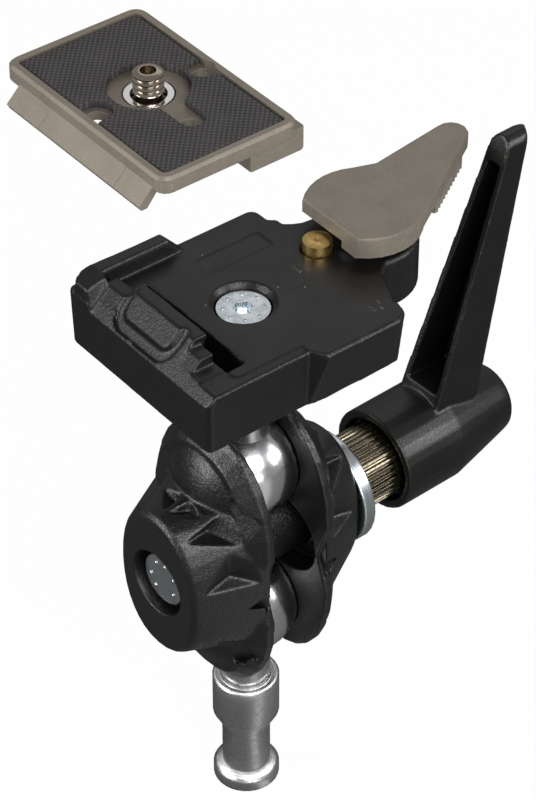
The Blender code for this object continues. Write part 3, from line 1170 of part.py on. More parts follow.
def make_plate_pad(body, finish):
    """The woven grip pad in the plate's tray, open round the screw and the holes."""
    low = PLATE_TOP_Z - PLATE_PAD_SEAT + FIT
    high = PLATE_TOP_Z - PAD_SINK
    outline = grown(plate_outline(), -PLATE_RIM_WALL - FIT)
    slab = layered(outline, [(low, 0), (high - PAD_EDGE, 0), (high, -PAD_EDGE)])
    pad = make_object("plate_pad", slab, body, finish)
    centre = Vector((KEYHOLE_X, KEYHOLE_Y, 0))
    cut(pad, "screw_window", bar(KEYHOLE_R, low - OVERRUN, high + OVERRUN, centre, "Z", ROUND_STEPS), body)
    half = KEYHOLE_LANE / 2
    lane = [(KEYHOLE_X + half, KEYHOLE_Y)]
    lane += [(KEYHOLE_X - half, KEYHOLE_Y)]
    lane += arc((KEYHOLE_X, KEYHOLE_END_Y), half, math.pi, 2 * math.pi, 8)
    cut(pad, "lane", prism(lane, low - OVERRUN, high + OVERRUN), body)
    left_edge = PLATE_LEFT_X + PLATE_RIM_WALL - OVERRUN
    right_edge = PLATE_LEFT_X + PLATE_WIDTH - PLATE_RIM_WALL + OVERRUN
    for label, x, y, edge in (("left", LEFT_HOLE_X, LEFT_HOLE_Y, left_edge),
                              ("right", RIGHT_HOLE_X, RIGHT_HOLE_Y, right_edge)):
        turn = math.pi / 2 if edge > x else -math.pi / 2
        bay = arc((x, y), HOLE_LAND_R, turn, turn + math.pi, 10)
        bay += [(edge, bay[-1][1]), (edge, bay[0][1])]
        cut(pad, f"bay_{label}", prism(bay, low - OVERRUN, high + OVERRUN), body)
    return pad


def make_camera_screw(body, finish):
    """The camera screw: ridged thread above, slotted head below the plate's web."""
    top = PLATE_TOP_Z + CAMERA_SCREW_PROUD
    web_low = PLATE_TOP_Z - PLATE_RIM_HEIGHT
    head_high = web_low - FIT
    head_low = head_high - CAMERA_HEAD_HEIGHT
    thread_low = top - CAMERA_THREADS * CAMERA_THREAD_PITCH
    profile = [(0, head_low), (CAMERA_HEAD_R, head_low), (CAMERA_HEAD_R, head_high),
               (CAMERA_SCREW_ROOT_R, head_high), (CAMERA_SCREW_ROOT_R, thread_low)]
    for thread in range(CAMERA_THREADS):
        z = thread_low + thread * CAMERA_THREAD_PITCH
        profile += [(CAMERA_SCREW_R, z + CAMERA_THREAD_PITCH * share) for share in CAMERA_CREST_SHARES]
        profile.append((CAMERA_SCREW_ROOT_R, z + CAMERA_THREAD_PITCH))
    profile.append((0, top))
    centre = Vector((KEYHOLE_X, KEYHOLE_Y, 0))
    screw = make_object("camera_screw", turned(profile, centre, "Z", SMALL_STEPS), body, finish)
    cut(screw, "socket", bar(CAMERA_SOCKET_R, top - CAMERA_SOCKET_DEPTH, top + OVERRUN, centre, "Z", 16),
        body)
    slot_top = head_low + CAMERA_SLOT_DEPTH
    cut(screw, "slot", box((KEYHOLE_X - CAMERA_SLOT / 2, KEYHOLE_Y - CAMERA_HEAD_R - OVERRUN,
                            head_low - OVERRUN), (KEYHOLE_X + CAMERA_SLOT / 2,
                            KEYHOLE_Y + CAMERA_HEAD_R + OVERRUN, slot_top)), body)
    return screw


def make_screw_washer(body, finish):
    """The bright disc that traps the camera screw in the plate."""
    low = PLATE_TOP_Z - PLATE_PAD_SEAT - WASHER_DISC_HEIGHT
    high = low + WASHER_DISC_HEIGHT
    profile = [(WASHER_HOLE_R, low), (WASHER_DISC_R, low), (WASHER_DISC_R, high), (WASHER_HOLE_R, high)]
    return make_object("screw_washer", turned(profile, (KEYHOLE_X, KEYHOLE_Y, 0), "Z"), body, finish)


def main():
    for old in list(bpy.data.objects):
        bpy.data.objects.remove(old, do_unlink=True)

    satin_steel = material("satin steel", (0.52, 0.52, 0.53), 0.32, 1.0)
    chrome = material("chrome", (0.72, 0.73, 0.75), 0.07, 1.0)
    black_cast = material("black casting", (0.022, 0.021, 0.020), 0.5, 0.0)
    black_nylon = material("black nylon", (0.018, 0.017, 0.017), 0.42, 0.0)
    zinc = material("bright zinc", (0.60, 0.66, 0.72), 0.28, 1.0)
    bronze_steel = material("oiled steel", (0.20, 0.17, 0.12), 0.4, 1.0)
    bronze_grey = material("bronze grey paint", (0.30, 0.27, 0.22), 0.45, 0.6)
    brass = material("brass", (0.75, 0.52, 0.22), 0.25, 1.0)
    weave = material("woven pad", (0.07, 0.07, 0.075), 0.8, 0.0)
    spring_steel = material("spring steel", (0.5, 0.5, 0.5), 0.25, 1.0)

    root = Body("fixed", vertical(0))
    pan_lower = Body("pan_lower", vertical(LOWER_BALL_Z), root)
    clamp = Body("swing_lower", vertical(LOWER_BALL_Z), pan_lower)
    rear = Body("clamp_gap", (SHELL_GAP / 2, 0, BOLT_Z), clamp)
    nut = Body("nut_spin", (nut_x(), 0, BOLT_Z), rear)
    handle = Body("lever_pull", (hub_x(), 0, BOLT_Z), nut)
    swing_upper = Body("swing_upper", vertical(UPPER_BALL_Z), clamp)
    deck = Body("pan_upper", vertical(UPPER_BALL_Z), swing_upper, PLATFORM_TURN)
    lever = Body("lever_turn", (PIVOT_X, PIVOT_Y, DECK_Z), deck)
    pin = Body("pin_press", (PIN_X, PIN_Y, DECK_Z), deck)
    plate = Body("plate_slide", (KEYHOLE_X, KEYHOLE_Y, PLATE_TOP_Z), deck)
    screw = Body("camera_turn", (KEYHOLE_X, KEYHOLE_Y, PLATE_TOP_Z), plate)

    make_spigot(root, satin_steel)
    make_lower_ball(pan_lower, chrome)
    make_shell("front_shell", -1, clamp, black_cast)
    make_clamp_bolt(clamp, zinc)
    seat = SHELL_GAP / 2 + SHELL_POCKET_DEPTH - FIT
    coil("release_spring", clamp, spring_steel, (-seat, 0, BOLT_Z), "X", RELEASE_WIRE, RELEASE_MEAN_R,
         2 * seat, RELEASE_TURNS)
    make_shell("rear_shell", 1, rear, black_cast)
    make_thrust_washer(rear, zinc)
    make_splined_nut(nut, bronze_steel)
    make_clamp_handle(handle, black_nylon)
    make_handle_screw(nut, zinc)
    coil("handle_spring", nut, spring_steel, (web_x() + HUB_WEB + FIT, 0, BOLT_Z), "X",
         HANDLE_SPRING_WIRE, HANDLE_SPRING_MEAN_R, HANDLE_SPRING_LENGTH, HANDLE_SPRING_TURNS)
    make_upper_ball(swing_upper, chrome)
    make_platform(deck, black_cast)
    make_platform_screw(deck, zinc)
    make_lever_pivot(deck, zinc)
    spring_low = DECK_Z + FIT
    coil("lever_spring", deck, spring_steel, (PIVOT_X, PIVOT_Y, spring_low), "Z", LEVER_SPRING_WIRE,
         LEVER_SPRING_MEAN_R, LEVER_TOP - LEVER_PLATE - 2 * FIT, LEVER_SPRING_TURNS)
    make_cam_lever(lever, bronze_grey)
    make_trigger_pin(pin, brass)
    make_pin_clip(pin, zinc)
    pin_room = PIN_WELL + PIN_PROUD - PIN_LENGTH - 2 * FIT
    coil("pin_spring", deck, spring_steel, (PIN_X, PIN_Y, DECK_Z - PIN_WELL + FIT), "Z", PIN_SPRING_WIRE,
         PIN_SPRING_MEAN_R, pin_room, PIN_SPRING_TURNS)
    make_quick_plate(plate, bronze_grey)
    make_plate_pad(plate, weave)
    make_screw_washer(plate, chrome)
    make_camera_screw(screw, chrome)


main()
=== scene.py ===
"""Looks for the double ball-joint head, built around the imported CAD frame."""

import json
import math

import bmesh
import bpy
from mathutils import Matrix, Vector

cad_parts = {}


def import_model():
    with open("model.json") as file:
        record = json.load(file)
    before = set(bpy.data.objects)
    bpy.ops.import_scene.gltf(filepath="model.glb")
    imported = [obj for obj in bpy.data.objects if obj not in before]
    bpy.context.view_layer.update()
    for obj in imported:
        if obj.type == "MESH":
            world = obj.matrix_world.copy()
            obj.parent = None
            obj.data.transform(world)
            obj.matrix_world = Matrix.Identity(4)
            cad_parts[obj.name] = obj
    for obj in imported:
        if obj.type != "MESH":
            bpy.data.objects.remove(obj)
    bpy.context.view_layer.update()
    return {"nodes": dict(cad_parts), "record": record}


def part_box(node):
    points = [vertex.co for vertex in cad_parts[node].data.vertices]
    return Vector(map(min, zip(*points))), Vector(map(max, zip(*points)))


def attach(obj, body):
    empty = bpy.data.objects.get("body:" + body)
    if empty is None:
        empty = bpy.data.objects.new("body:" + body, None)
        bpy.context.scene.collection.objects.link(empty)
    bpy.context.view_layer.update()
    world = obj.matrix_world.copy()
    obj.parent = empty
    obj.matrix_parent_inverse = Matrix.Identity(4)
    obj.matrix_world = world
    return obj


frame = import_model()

MM = 0.001

# Camera, at the photograph's place
CAMERA_AT = (-0.3147, -0.3791, 0.5286)
CAMERA_AZIMUTH = -40.31
CAMERA_ELEVATION = 39.83
CAMERA_LENS = 131.8

# What the lamps point at and how far from it they stand, in metres
TARGET = (0.0, 0.0, 0.11)
LAMP_DISTANCE = 1.0

# The ground's half width, and how far it lies below the stud's foot, in metres
FLOOR_HALF = 3.0
FLOOR_DROP = 0.2 * MM
# Share of plain white that camera rays see on the ground; the rest keeps the shadow
CAMERA_WHITE = 0.97
# Share of the painted reflection tones in what glossy rays see; the rest is the pale ground
GLOSSY_TONED = 0.9
# Strength of the world for all but camera rays
DIM_LIGHT = 0.27
# Painted reflection: tone that glossy rays see in place of the white ground, by azimuth in degrees
# as the radial gradient counts it; its bright band shows as a highlight strip in the metal
PAINTED_REFLECTION_TONES = ((0.0, 0.05), (50.0, 0.05), (72.0, 0.12), (82.0, 0.50), (94.0, 0.50), (106.0, 0.12),
                (190.0, 0.05), (270.0, 0.01), (360.0, 0.05))


def add_object(name, data):
    obj = bpy.data.objects.new(name, data)
    bpy.context.scene.collection.objects.link(obj)
    return obj


def camera():
    data = bpy.data.cameras.new("photo_camera")
    data.lens = CAMERA_LENS
    data.sensor_width = 36.0
    data.clip_start, data.clip_end = 0.01, 20.0
    cam = add_object("photo_camera", data)
    cam.location = CAMERA_AT
    tilt, turn = math.radians(90.0 - CAMERA_ELEVATION), math.radians(CAMERA_AZIMUTH)
    cam.rotation_euler = (tilt, 0.0, turn)
    bpy.context.scene.camera = cam


def softbox(name, azimuth, elevation, size, power):
    """A lamp in a direction from the object, aimed at it."""
    data = bpy.data.lights.new(name, "AREA")
    data.shape = "RECTANGLE"
    data.size, data.size_y = size
    data.energy = power
    lamp = add_object(name, data)
    a, e = math.radians(azimuth), math.radians(elevation)
    toward = Vector((math.cos(e) * math.cos(a), math.cos(e) * math.sin(a), math.sin(e)))
    at = Vector(TARGET) + LAMP_DISTANCE * toward
    lamp.location = at
    aim = Vector(TARGET) - at
    lamp.rotation_euler = aim.to_track_quat("-Z", "Y").to_euler()


class Nodes:
    """Short-hand for building one material's node tree."""

    def __init__(self, tree):
        self.tree = tree
        self.tree.nodes.clear()

    def add(self, kind, inputs=None, **settings):
        node = self.tree.nodes.new(kind)
        for key, value in settings.items():
            setattr(node, key, value)
        for key, value in (inputs or {}).items():
            self.put(node.inputs[key], value)
        return node

    def put(self, socket, value):
        if isinstance(value, bpy.types.NodeSocket):
            self.tree.links.new(value, socket)
        else:
            socket.default_value = value

    def math(self, operation, *values):
        node = self.add("ShaderNodeMath", operation=operation)
        for socket, value in zip(node.inputs, values):
            self.put(socket, value)
        return node.outputs[0]

    def position(self):
        return self.add("ShaderNodeTexCoord").outputs["Object"]

    def mapped(self, scale, turn=(0.0, 0.0, 0.0)):
        node = self.add("ShaderNodeMapping", {"Vector": self.position()})
        node.inputs["Scale"].default_value = scale
        node.inputs["Rotation"].default_value = turn
        return node.outputs[0]

    def noise(self, size, vector=None, detail=3.0, rough=0.55):
        """Noise whose features are about size metres across."""
        vector = vector or self.position()
        inputs = {"Vector": vector, "Scale": 1.0 / size, "Detail": detail, "Roughness": rough}
        return self.add("ShaderNodeTexNoise", inputs).outputs["Fac"]

    def spread(self, value, low, high, out_low, out_high):
        inputs = {"Value": value, "From Min": low, "From Max": high,
                  "To Min": out_low, "To Max": out_high}
        return self.add("ShaderNodeMapRange", inputs, clamp=True).outputs[0]

    def blend(self, amount, first, second):
        node = self.add("ShaderNodeMix", data_type="RGBA")
        self.put(node.inputs[0], amount)
        self.put(node.inputs[6], first)
        self.put(node.inputs[7], second)
        return node.outputs[2]

    def bump(self, height, depth, strength=1.0, normal=None):
        inputs = {"Height": height, "Distance": depth, "Strength": strength}
        node = self.add("ShaderNodeBump", inputs)
        if normal is not None:
            self.put(node.inputs["Normal"], normal)
        return node.outputs["Normal"]

    def edges(self, radius):
        """How near an outer edge lies, from 0 to 1."""
        soft = self.add("ShaderNodeBevel", {"Radius": radius}, samples=6).outputs[0]
        geometry = self.add("ShaderNodeNewGeometry")
        across = self.add("ShaderNodeVectorMath", operation="DOT_PRODUCT")
        self.put(across.inputs[0], soft)
        self.put(across.inputs[1], geometry.outputs["Normal"])
        gap = self.math("SUBTRACT", 1.0, across.outputs["Value"])
        return self.spread(gap, 0.02, 0.3, 0.0, 1.0)

    def distance(self, spot):
        """How far the shaded point lies from a spot, in metres."""
        gap = self.add("ShaderNodeVectorMath", operation="DISTANCE")
        self.put(gap.inputs[0], self.position())
        self.put(gap.inputs[1], spot)
        return gap.outputs["Value"]

    def mottled(self, cloud, first, second):
        """Two colours that change over slowly, as the cloud does."""
        return self.blend(self.spread(cloud, 0.3, 0.7, 0.0, 1.0), rgba(*first), rgba(*second))

    def mix(self, amount, first, second):
        """The first shader, going over to the second as the amount goes from 0 to 1."""
        node = self.add("ShaderNodeMixShader")
        for socket, value in zip(node.inputs, (amount, first, second)):
            self.put(socket, value)
        return node.outputs[0]

    def surface(self, **values):
        shader = self.add("ShaderNodeBsdfPrincipled")
        for key, value in values.items():
            self.put(shader.inputs[key.replace("_", " ")], value)
        out = self.add("ShaderNodeOutputMaterial")
        self.put(out.inputs["Surface"], shader.outputs[0])
        return shader


def fresh(name):
    mat = bpy.data.materials.new(name)
    mat.use_nodes = True
    return mat, Nodes(mat.node_tree)


def rgba(r, g, b):
    return (r, g, b, 1.0)


def turned_metal(name, colour, rough, axis, ring, grain=0.25, dark=0.82, brushed=0.0):
    """Lathe-turned or plated metal with fine rings along one axis."""
    mat, n = fresh(name)
    scale = [60.0, 60.0, 60.0]
    scale["XYZ".index(axis)] = 1.0 / ring
    rings = n.add("ShaderNodeTexNoise", {"Vector": n.mapped(scale), "Scale": 1.0, "Detail": 2.0})
    cloud = n.noise(1.6 * MM, detail=5.0, rough=0.65)
    tone = n.blend(n.spread(cloud, 0.35, 0.7, 0.0, 1.0), rgba(*colour),
                   rgba(*[dark * c for c in colour]))
    roughness = n.math("ADD", n.spread(rings.outputs["Fac"], 0.3, 0.7,
                                       rough * (1 - grain), rough * (1 + grain)),
                       n.spread(cloud, 0.3, 0.7, -0.3 * rough, 0.3 * rough))
    shader = n.surface(Base_Color=tone, Metallic=1.0, Roughness=roughness,
                       Normal=n.bump(rings.outputs["Fac"], 0.006 * MM, 0.6))
    if brushed:
        shader.inputs["Anisotropic"].default_value = brushed
        tangent = n.add("ShaderNodeTangent", direction_type="RADIAL", axis=axis)
        n.put(shader.inputs["Tangent"], tangent.outputs[0])
    return mat


def polished(name, colour, low, high):
    """Chrome with faint smudges."""
    mat, n = fresh(name)
    fine = n.noise(1.2 * MM, detail=6.0, rough=0.7)
    cloud = n.noise(9.0 * MM, detail=3.0)
    tone = n.mottled(cloud, colour, [0.88 * c for c in colour])
    n.surface(Base_Color=tone, Metallic=1.0, Roughness=n.spread(fine, 0.3, 0.7, low, high))
    return mat


def near(n, spots, radius):
    """1 within radius of any of the spots (metres), soft at the rim."""
    total = None
    for spot in spots:
        here = n.spread(n.distance(spot), 0.55 * radius, radius, 1.0, 0.0)
        total = here if total is None else n.math("MAXIMUM", total, here)
    return total


def casting(name, colour, rough, grain, depth, wear_and_highlight, shine, deck=False):
    """Black painted casting: wormy wrinkle, edges lightened as rubbed wear and painted highlight,
    and a smoother deck if asked.
    """
    mat, n = fresh(name)
    inputs = {"Vector": n.position(), "Scale": 1.0 / grain, "Detail": 1.5, "Distortion": 0.8}
    warped = n.add("ShaderNodeTexNoise", inputs).outputs["Fac"]
    worm = n.math("ABSOLUTE", n.math("SUBTRACT", warped, 0.5))
    ridge = n.spread(worm, 0.0, 0.16, 1.0, 0.0)
    fine = n.noise(0.35 * grain, detail=3.0)
    wrinkle = n.math("ADD", n.math("MULTIPLY", ridge, 0.7), n.math("MULTIPLY", fine, 0.5))
    cloud = n.noise(11.0 * MM, detail=3.0)
    # Lighter grey along outer edges: partly rubbed wear, partly painted edge highlight
    edge_patches = n.math("MULTIPLY", n.edges(0.45 * MM), n.spread(n.noise(2.5 * MM), 0.42, 0.66, 0.1, 1.0))
    tone = n.blend(n.math("MULTIPLY", edge_patches, wear_and_highlight), rgba(*colour), rgba(*WEAR_AND_HIGHLIGHT_GREY))
    roughness = n.math("ADD", n.spread(cloud, 0.3, 0.7, rough - 0.04, rough + 0.06),
                       n.spread(fine, 0.3, 0.7, -0.04, 0.04))
    strength = 0.9
    if deck:
        normal = n.add("ShaderNodeTexCoord").outputs["Normal"]
        split = n.add("ShaderNodeSeparateXYZ", {"Vector": normal})
        flat = n.spread(split.outputs["Z"], 0.93, 0.99, 0.0, 1.0)
        strength = n.spread(flat, 0.0, 1.0, 0.5, 0.22)
        specks = n.math("MULTIPLY", near(n, SPECKS, 0.22 * MM), 0.5)
        tone = n.blend(specks, tone, rgba(*SPECK_GREY))
        scratch = n.noise(0.5 * MM, n.mapped((1.0, 0.25, 1.0), (0.0, 0.0, 0.6)), detail=2.0)
        scuffed = n.math("MULTIPLY", near(n, SCUFFS, 2.4 * MM),
                         n.spread(scratch, 0.58, 0.70, 0.0, 0.3))
        tone = n.blend(scuffed, tone, rgba(*SCUFF_GREY))
    shader = n.surface(Base_Color=tone, Roughness=roughness)
    relief = n.bump(wrinkle, depth, strength)
    if deck:
        from_ring = n.math("SUBTRACT", n.distance(EJECTOR_MARK), EJECTOR_RADIUS)
        ring = n.spread(n.math("ABSOLUTE", from_ring), 0.05 * MM, 0.2 * MM, 1.0, 0.0)
        relief = n.bump(ring, -0.05 * MM, 0.6, relief)
    n.put(shader.inputs["Normal"], relief)
    shader.inputs["Specular IOR Level"].default_value = shine
    return mat


def powder_coat(name, seams=()):
    """Bronze-grey metallic paint, with the casting's parting seams across the flank."""
    mat, n = fresh(name)
    speck = n.noise(0.3 * MM, detail=3.0, rough=0.7)
    cloud = n.noise(7.0 * MM, detail=4.0)
    base = n.mottled(cloud, BRONZE, DARK_BRONZE)
    flake = n.blend(n.spread(speck, 0.5, 0.72, 0.0, 0.55), base, rgba(*BRONZE_FLAKE))
    edge_patches = n.math("MULTIPLY", n.edges(0.35 * MM),
                  n.spread(n.noise(1.8 * MM), 0.45, 0.65, 0.15, 0.8))
    tone = n.blend(edge_patches, flake, rgba(*RUBBED_BRONZE))
    height = speck
    if seams:
        parts = n.add("ShaderNodeSeparateXYZ", {"Vector": n.position()})
        line = None
        for seam in seams:
            gap = n.math("ABSOLUTE", n.math("SUBTRACT", parts.outputs["Y"], seam))
            here = n.spread(gap, 0.05 * MM, 0.16 * MM, 1.0, 0.0)
            line = here if line is None else n.math("MAXIMUM", line, here)
        outside = n.math("LESS_THAN", parts.outputs["X"], FLANK_SEAM_X)
        line = n.math("MULTIPLY", line, outside)
        tone = n.blend(n.math("MULTIPLY", line, 0.45), tone, rgba(*SEAM_SHADE))
        height = n.math("SUBTRACT", speck, n.math("MULTIPLY", line, 2.0))
    n.surface(Base_Color=tone, Metallic=0.45, Roughness=n.spread(speck, 0.3, 0.7, 0.40, 0.54),
              Normal=n.bump(height, 0.02 * MM, 0.7))
    return mat


def woven(name):
    """Grip pad with a fine weave."""
    mat, n = fresh(name)
    strands = []
    for turn in (math.radians(45.0), math.radians(-45.0)):
        wave = n.add("ShaderNodeTexWave", {"Vector": n.mapped((1.0, 1.0, 1.0), (0.0, 0.0, turn)),
                                           "Scale": 330.0, "Distortion": 0.4, "Detail": 1.0})
        strands.append(wave.outputs["Fac"])
    weave = n.math("MULTIPLY", *strands)
    cloud = n.noise(6.0 * MM, detail=4.0)
    dark = n.mottled(cloud, PAD_DARK, PAD_WORN)
    tone = n.blend(n.spread(weave, 0.1, 0.7, 0.0, 0.8), dark, rgba(*PAD_STRAND))
    shader = n.surface(Base_Color=tone, Roughness=0.75, Normal=n.bump(weave, 0.05 * MM, 0.8))
    shader.inputs["Specular IOR Level"].default_value = 0.3
    return mat


def on_deck(x, y):
    """World place of a point of the deck, which is turned a little about the upright axis."""
    c, s = math.cos(DECK_TURN), math.sin(DECK_TURN)
    return (x * c - y * s, x * s + y * c, DECK_Z)


DECK_TURN = math.radians(-2.03)
DECK_Z = 144.9 * MM
SPECKS = [on_deck(x * MM, y * MM) for x, y in
          ((16.1, 0.7), (9.1, -0.5), (13.6, -4.1), (-7.0, 4.1), (-19.4, -5.8), (3.2, 18.6))]
SCUFFS = [on_deck(x * MM, y * MM) for x, y in ((21.3, -18.6), (17.0, 2.0))]
EJECTOR_MARK = on_deck(12.6 * MM, -0.2 * MM)
EJECTOR_RADIUS = 3.0 * MM
FLANK_SEAM_X = -41.4 * MM
FLANK_SEAMS = (9.1 * MM, -15.8 * MM)

BLACK = (0.0045, 0.0039, 0.0034)
# Grey of the edge patches on black parts: rubbed wear and painted edge highlight
WEAR_AND_HIGHLIGHT_GREY = (0.16, 0.155, 0.15)
SPECK_GREY = (0.45, 0.45, 0.44)
SCUFF_GREY = (0.30, 0.30, 0.29)
BRONZE, DARK_BRONZE = (0.258, 0.224, 0.180), (0.218, 0.190, 0.154)
BRONZE_FLAKE = (0.42, 0.385, 0.335)
RUBBED_BRONZE = (0.42, 0.40, 0.36)
SEAM_SHADE = (0.12, 0.105, 0.085)
PAD_DARK, PAD_WORN = (0.032, 0.030, 0.030), (0.048, 0.045, 0.045)
PAD_STRAND = (0.11, 0.10, 0.10)

MATERIALS = {
    "satin_steel": turned_metal("satin_steel", (0.76, 0.76, 0.765), 0.30, "Z", 0.12 * MM,
                                brushed=0.8),
    "chrome": polished("chrome", (0.80, 0.81, 0.83), 0.16, 0.26),
    "black_casting": casting("black_casting", BLACK, 0.33, 0.75 * MM, 0.05 * MM, 0.0, 0.75),
    "black_nylon": casting("black_nylon", BLACK, 0.31, 0.45 * MM, 0.02 * MM, 0.05, 0.55),
    "bright_zinc": turned_metal("bright_zinc", (0.79, 0.85, 0.88), 0.27, "X", 0.2 * MM, dark=0.72),
    "oiled_steel": turned_metal("oiled_steel", (0.23, 0.20, 0.145), 0.27, "X", 0.5 * MM),
    "bronze_grey": powder_coat("bronze_grey"),
    "brass": turned_metal("brass", (0.98, 0.68, 0.26), 0.36, "Z", 0.1 * MM, dark=0.7),
    "woven_pad": woven("woven_pad"),
    "spring_steel": turned_metal("spring_steel", (0.55, 0.55, 0.56), 0.24, "X", 0.2 * MM),
}
OWN_FINISH = {
    # The deck's 0.35 share of edge grey is partly painted edge highlight, partly wear
    "platform": casting("black_deck", BLACK, 0.37, 1.0 * MM, 0.07 * MM, 0.35, 0.55, deck=True),
    "quick_plate": powder_coat("bronze_plate", FLANK_SEAMS),
    "camera_screw": polished("screw_chrome", (0.50, 0.44, 0.37), 0.12, 0.26),
    "screw_washer": polished("ring_chrome", (0.84, 0.83, 0.81), 0.12, 0.24),
}

# Width of the rounded edges of each node that is not in SOFT_CAST, in mm; 0 leaves them as built
EDGE_ROUND = {
    "spigot": 0.0, "lower_ball": 0.0, "upper_ball": 0.0,
    "clamp_bolt": 0.15, "release_spring": 0.0, "thrust_washer": 0.3,
    "splined_nut": 0.12, "handle_screw": 0.15, "handle_spring": 0.0,
    "platform_screw": 0.12, "lever_pivot": 0.12, "lever_spring": 0.0,
    "cam_lever": 0.4, "trigger_pin": 0.0, "pin_clip": 0.0, "pin_spring": 0.0,
    "quick_plate": 0.35, "plate_pad": 0.12, "screw_washer": 0.1, "camera_screw": 0.0,
}
# Castings whose edges and blends are melted together: voxel size in mm, smoothing passes
SOFT_CAST = {"front_shell": (0.3, 13), "rear_shell": (0.3, 13), "platform": (0.35, 5),
             "clamp_handle": (0.4, 5)}
MELT_FACTOR = 0.5
NORMAL_WEIGHT = 80
WELD_GAP = 0.005 * MM
FLAT_ANGLE = math.radians(1.0)
SMOOTH_ANGLE = math.radians(30.0)
SPLIT_ANGLE = math.radians(50.0)
# Boxes of x, y and z, in mm and from the middle, round the shells' thinnest webs, and how far
# these are lifted. Each web is an open patch of surface.
THIN_WEBS = (((9.6, 13.8), (15.4, 19.0), (72.0, 75.4), 0.02),)

# A pip is a dome of rings, each with its share of the radius and its rise
PIP_SIDES = 10
PIP_RINGS = ((1.0, -0.05), (0.95, 0.25), (0.7, 0.5), (0.3, 0.6))
# Radius of the ring of pips, their angles in degrees, and their own radius
SCREW_PIPS = (4.5 * MM, range(10, 370, 45), 0.42 * MM)
BOLT_PIPS = (4.3 * MM, (-11, 31, 100, 142, 238, 300), 0.55 * MM)


def dress(node, slot):
    """Gives a CAD node its material, rounded edges and smooth shading."""
    obj = frame["nodes"][node]
    obj.data.materials.clear()
    obj.data.materials.append(OWN_FINISH.get(node, MATERIALS[slot]))
    for name in ("custom_normal", "sharp_face"):
        layer = obj.data.attributes.get(name)
        if layer is not None:
            obj.data.attributes.remove(layer)
    for face in obj.data.polygons:
        face.use_smooth = True
        face.material_index = 0
    weld = obj.modifiers.new("weld", "WELD")
    weld.merge_threshold = WELD_GAP
    if node in SOFT_CAST:
        voxel, passes = SOFT_CAST[node]
        remesh = obj.modifiers.new("soft", "REMESH")
        remesh.mode = "VOXEL"
        remesh.voxel_size = voxel * MM
        remesh.use_smooth_shade = True
        smooth = obj.modifiers.new("melt", "SMOOTH")
        smooth.factor = MELT_FACTOR
        smooth.iterations = passes
        return
    width = EDGE_ROUND[node] * MM
    if width:
        flat = obj.modifiers.new("flat", "DECIMATE")
        flat.decimate_type = "DISSOLVE"
        flat.angle_limit = FLAT_ANGLE
        bevel = obj.modifiers.new("bevel", "BEVEL")
        bevel.width = width
        bevel.segments = 2
        bevel.limit_method = "ANGLE"
        bevel.angle_limit = SMOOTH_ANGLE
        bevel.use_clamp_overlap = True
        bevel.harden_normals = False
    split = obj.modifiers.new("split", "EDGE_SPLIT")
    split.split_angle = SPLIT_ANGLE
    split.use_edge_sharp = False
    if width:
        even = obj.modifiers.new("even", "WEIGHTED_NORMAL")
        even.keep_sharp = False
        even.weight = NORMAL_WEIGHT


def place(name, mesh, body, slot):
    """Puts a mesh of the scene's own on a body, in the material of its slot."""
    obj = add_object(name, mesh)
    mesh.materials.append(MATERIALS[slot])
    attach(obj, body)


def pips(name, centre, across, up, ring_r, angles, size, body, slot):
    """Small raised dots in a ring on a screw's face."""
    across, up, centre = Vector(across), Vector(up), Vector(centre)
    out = across.cross(up)
    bm = bmesh.new()
    for angle in angles:
        turn = math.radians(angle)
        at = centre + ring_r * (math.cos(turn) * across + math.sin(turn) * up)
        rings = []
        for share, rise in PIP_RINGS:
            ring = []
            for k in range(PIP_SIDES):
                spin = k * math.tau / PIP_SIDES
                outward = math.cos(spin) * across + math.sin(spin) * up
                ring.append(bm.verts.new(at + out * size * rise + size * share * outward))
            rings.append(ring)
        for low, high in zip(rings, rings[1:]):
            for k in range(PIP_SIDES):
                bm.faces.new((low[k], low[(k + 1) % PIP_SIDES], high[(k + 1) % PIP_SIDES], high[k]))
        bm.faces.new(rings[-1])
        bm.faces.new(rings[0][::-1])
    mesh = bpy.data.meshes.new(name)
    bm.to_mesh(mesh)
    bm.free()
    for face in mesh.polygons:
        face.use_smooth = True
    place(name, mesh, body, slot)


def web(name, node, lows, highs, lift, body, slot):
    """Makes the part of a node inside a box a piece, for a wall too thin for the soft cast."""
    bm = bmesh.new()
    bm.from_mesh(frame["nodes"][node].data)
    bmesh.ops.remove_doubles(bm, verts=bm.verts, dist=WELD_GAP)
    for axis in range(3):
        for limit, side in ((lows[axis], -1.0), (highs[axis], 1.0)):
            normal, at = Vector((0, 0, 0)), Vector((0, 0, 0))
            normal[axis], at[axis] = side, limit * MM
            cut = bm.verts[:] + bm.edges[:] + bm.faces[:]
            bmesh.ops.bisect_plane(bm, geom=cut, plane_co=at, plane_no=normal, clear_outer=True)
    for vert in bm.verts:
        vert.co += Vector(lift) * MM
    mesh = bpy.data.meshes.new(name)
    bm.to_mesh(mesh)
    bm.free()
    place(name, mesh, body, slot)


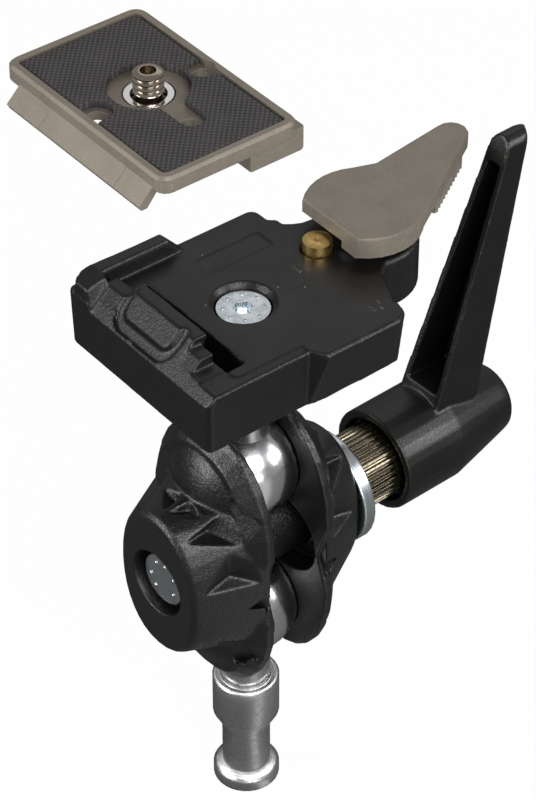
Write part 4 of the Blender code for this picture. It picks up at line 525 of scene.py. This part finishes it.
def floor():
    """Ground that is white to the camera and keeps a faint shadow. Glossy rays see a dark one
    instead, toned by azimuth as a painted reflection with a bright band: a known fault, since it
    should be white. Glossy rays see a dark one instead, toned by azimuth: a known departure from
    the order, which wants it white."""
    mesh = bpy.data.meshes.new("floor")
    corners = [(x * FLOOR_HALF, y * FLOOR_HALF, -FLOOR_DROP)
               for x, y in ((-1, -1), (1, -1), (1, 1), (-1, 1))]
    mesh.from_pydata(corners, [], [(0, 1, 2, 3)])
    obj = add_object("floor", mesh)
    mat, n = fresh("floor")
    grain = n.noise(40.0 * MM, detail=4.0)
    pale = n.blend(grain, rgba(0.84, 0.84, 0.84), rgba(0.88, 0.88, 0.88))
    diffuse = n.add("ShaderNodeBsdfDiffuse", {"Color": pale})
    white = n.add("ShaderNodeEmission", {"Color": rgba(1.0, 1.0, 1.0), "Strength": 1.0})
    around = n.add("ShaderNodeTexGradient", {"Vector": n.position()}, gradient_type="RADIAL")
    ramp = n.add("ShaderNodeValToRGB", {"Fac": around.outputs["Fac"]})
    ramp.color_ramp.interpolation = "EASE"
    stops = ramp.color_ramp.elements
    while len(stops) > 1:
        stops.remove(stops[-1])
    for count, (azimuth, level) in enumerate(PAINTED_REFLECTION_TONES):
        stop = stops[0] if count == 0 else stops.new(azimuth / 360.0)
        stop.position = azimuth / 360.0
        stop.color = rgba(level, level, level)
    # Painted reflection: the toned ground glows for glossy rays, and its bright band shows in metal
    # as a highlight strip
    ground = n.add("ShaderNodeEmission", {"Color": ramp.outputs["Color"], "Strength": 1.0})
    path = n.add("ShaderNodeLightPath")
    to_glossy = n.math("MULTIPLY", path.outputs["Is Glossy Ray"], GLOSSY_TONED)
    to_camera = n.math("MULTIPLY", path.outputs["Is Camera Ray"], CAMERA_WHITE)
    mirrored = n.mix(to_glossy, diffuse.outputs[0], ground.outputs[0])
    out = n.add("ShaderNodeOutputMaterial")
    n.put(out.inputs["Surface"], n.mix(to_camera, mirrored, white.outputs[0]))
    mesh.materials.append(mat)


def world():
    """White to camera rays only. Glossy and transmission rays see the dim light instead: a
    known departure from the order, which wants them to see white."""
    scene_world = bpy.data.worlds.new("studio")
    bpy.context.scene.world = scene_world
    scene_world.use_nodes = True
    n = Nodes(scene_world.node_tree)
    path = n.add("ShaderNodeLightPath")
    dim = n.add("ShaderNodeBackground", {"Color": rgba(1.0, 1.0, 1.0), "Strength": DIM_LIGHT})
    white = n.add("ShaderNodeBackground", {"Color": rgba(1.0, 1.0, 1.0), "Strength": 1.0})
    seen = n.mix(path.outputs["Is Camera Ray"], dim.outputs[0], white.outputs[0])
    out = n.add("ShaderNodeOutputWorld")
    n.put(out.inputs["Surface"], seen)


for subpart in frame["record"]["subparts"]:
    dress(subpart["node"], subpart["material_slot"])

screw_low, screw_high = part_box("platform_screw")
screw_mid = (screw_low + screw_high) / 2
pips("screw_pips", (screw_mid.x, screw_mid.y, screw_high.z),
     (1, 0, 0), (0, 1, 0), *SCREW_PIPS, "platform", "bright_zinc")
bolt_low, bolt_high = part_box("clamp_bolt")
bolt_mid = (bolt_low + bolt_high) / 2
pips("bolt_pips", (bolt_low.x, bolt_mid.y, bolt_mid.z),
     (0, 0, 1), (0, 1, 0), *BOLT_PIPS, "clamp", "bright_zinc")

for shell, ride_on, toward in (("front_shell", "clamp", -1), ("rear_shell", "rear_clamp", 1)):
    for side in (-1, 1):
        for count, (x, y, z, lift) in enumerate(THIN_WEBS):
            xs = sorted(toward * v for v in x)
            ys = sorted(side * v for v in y)
            web("%s_web_%d_%s" % (shell, count, "left" if side < 0 else "right"), shell,
                (xs[0], ys[0], z[0]), (xs[1], ys[1], z[1]),
                (toward * lift, side * lift, 0.0), ride_on, "black_casting")

camera()
world()
floor()
# Azimuth and elevation in degrees, size in metres, power in watts
softbox("front", 252.0, 38.0, (0.70, 0.42), 5.8)
softbox("left", 152.0, 28.0, (0.45, 0.40), 3.1)
softbox("dome", 168.0, 11.0, (0.40, 0.30), 3.0)
softbox("low", 252.0, 8.0, (0.50, 0.22), 1.3)
softbox("right", 312.0, 26.0, (0.40, 0.32), 3.2)
softbox("back", 38.0, 44.0, (0.70, 0.45), 0.45)

bpy.context.scene.view_settings.view_transform = "Standard"
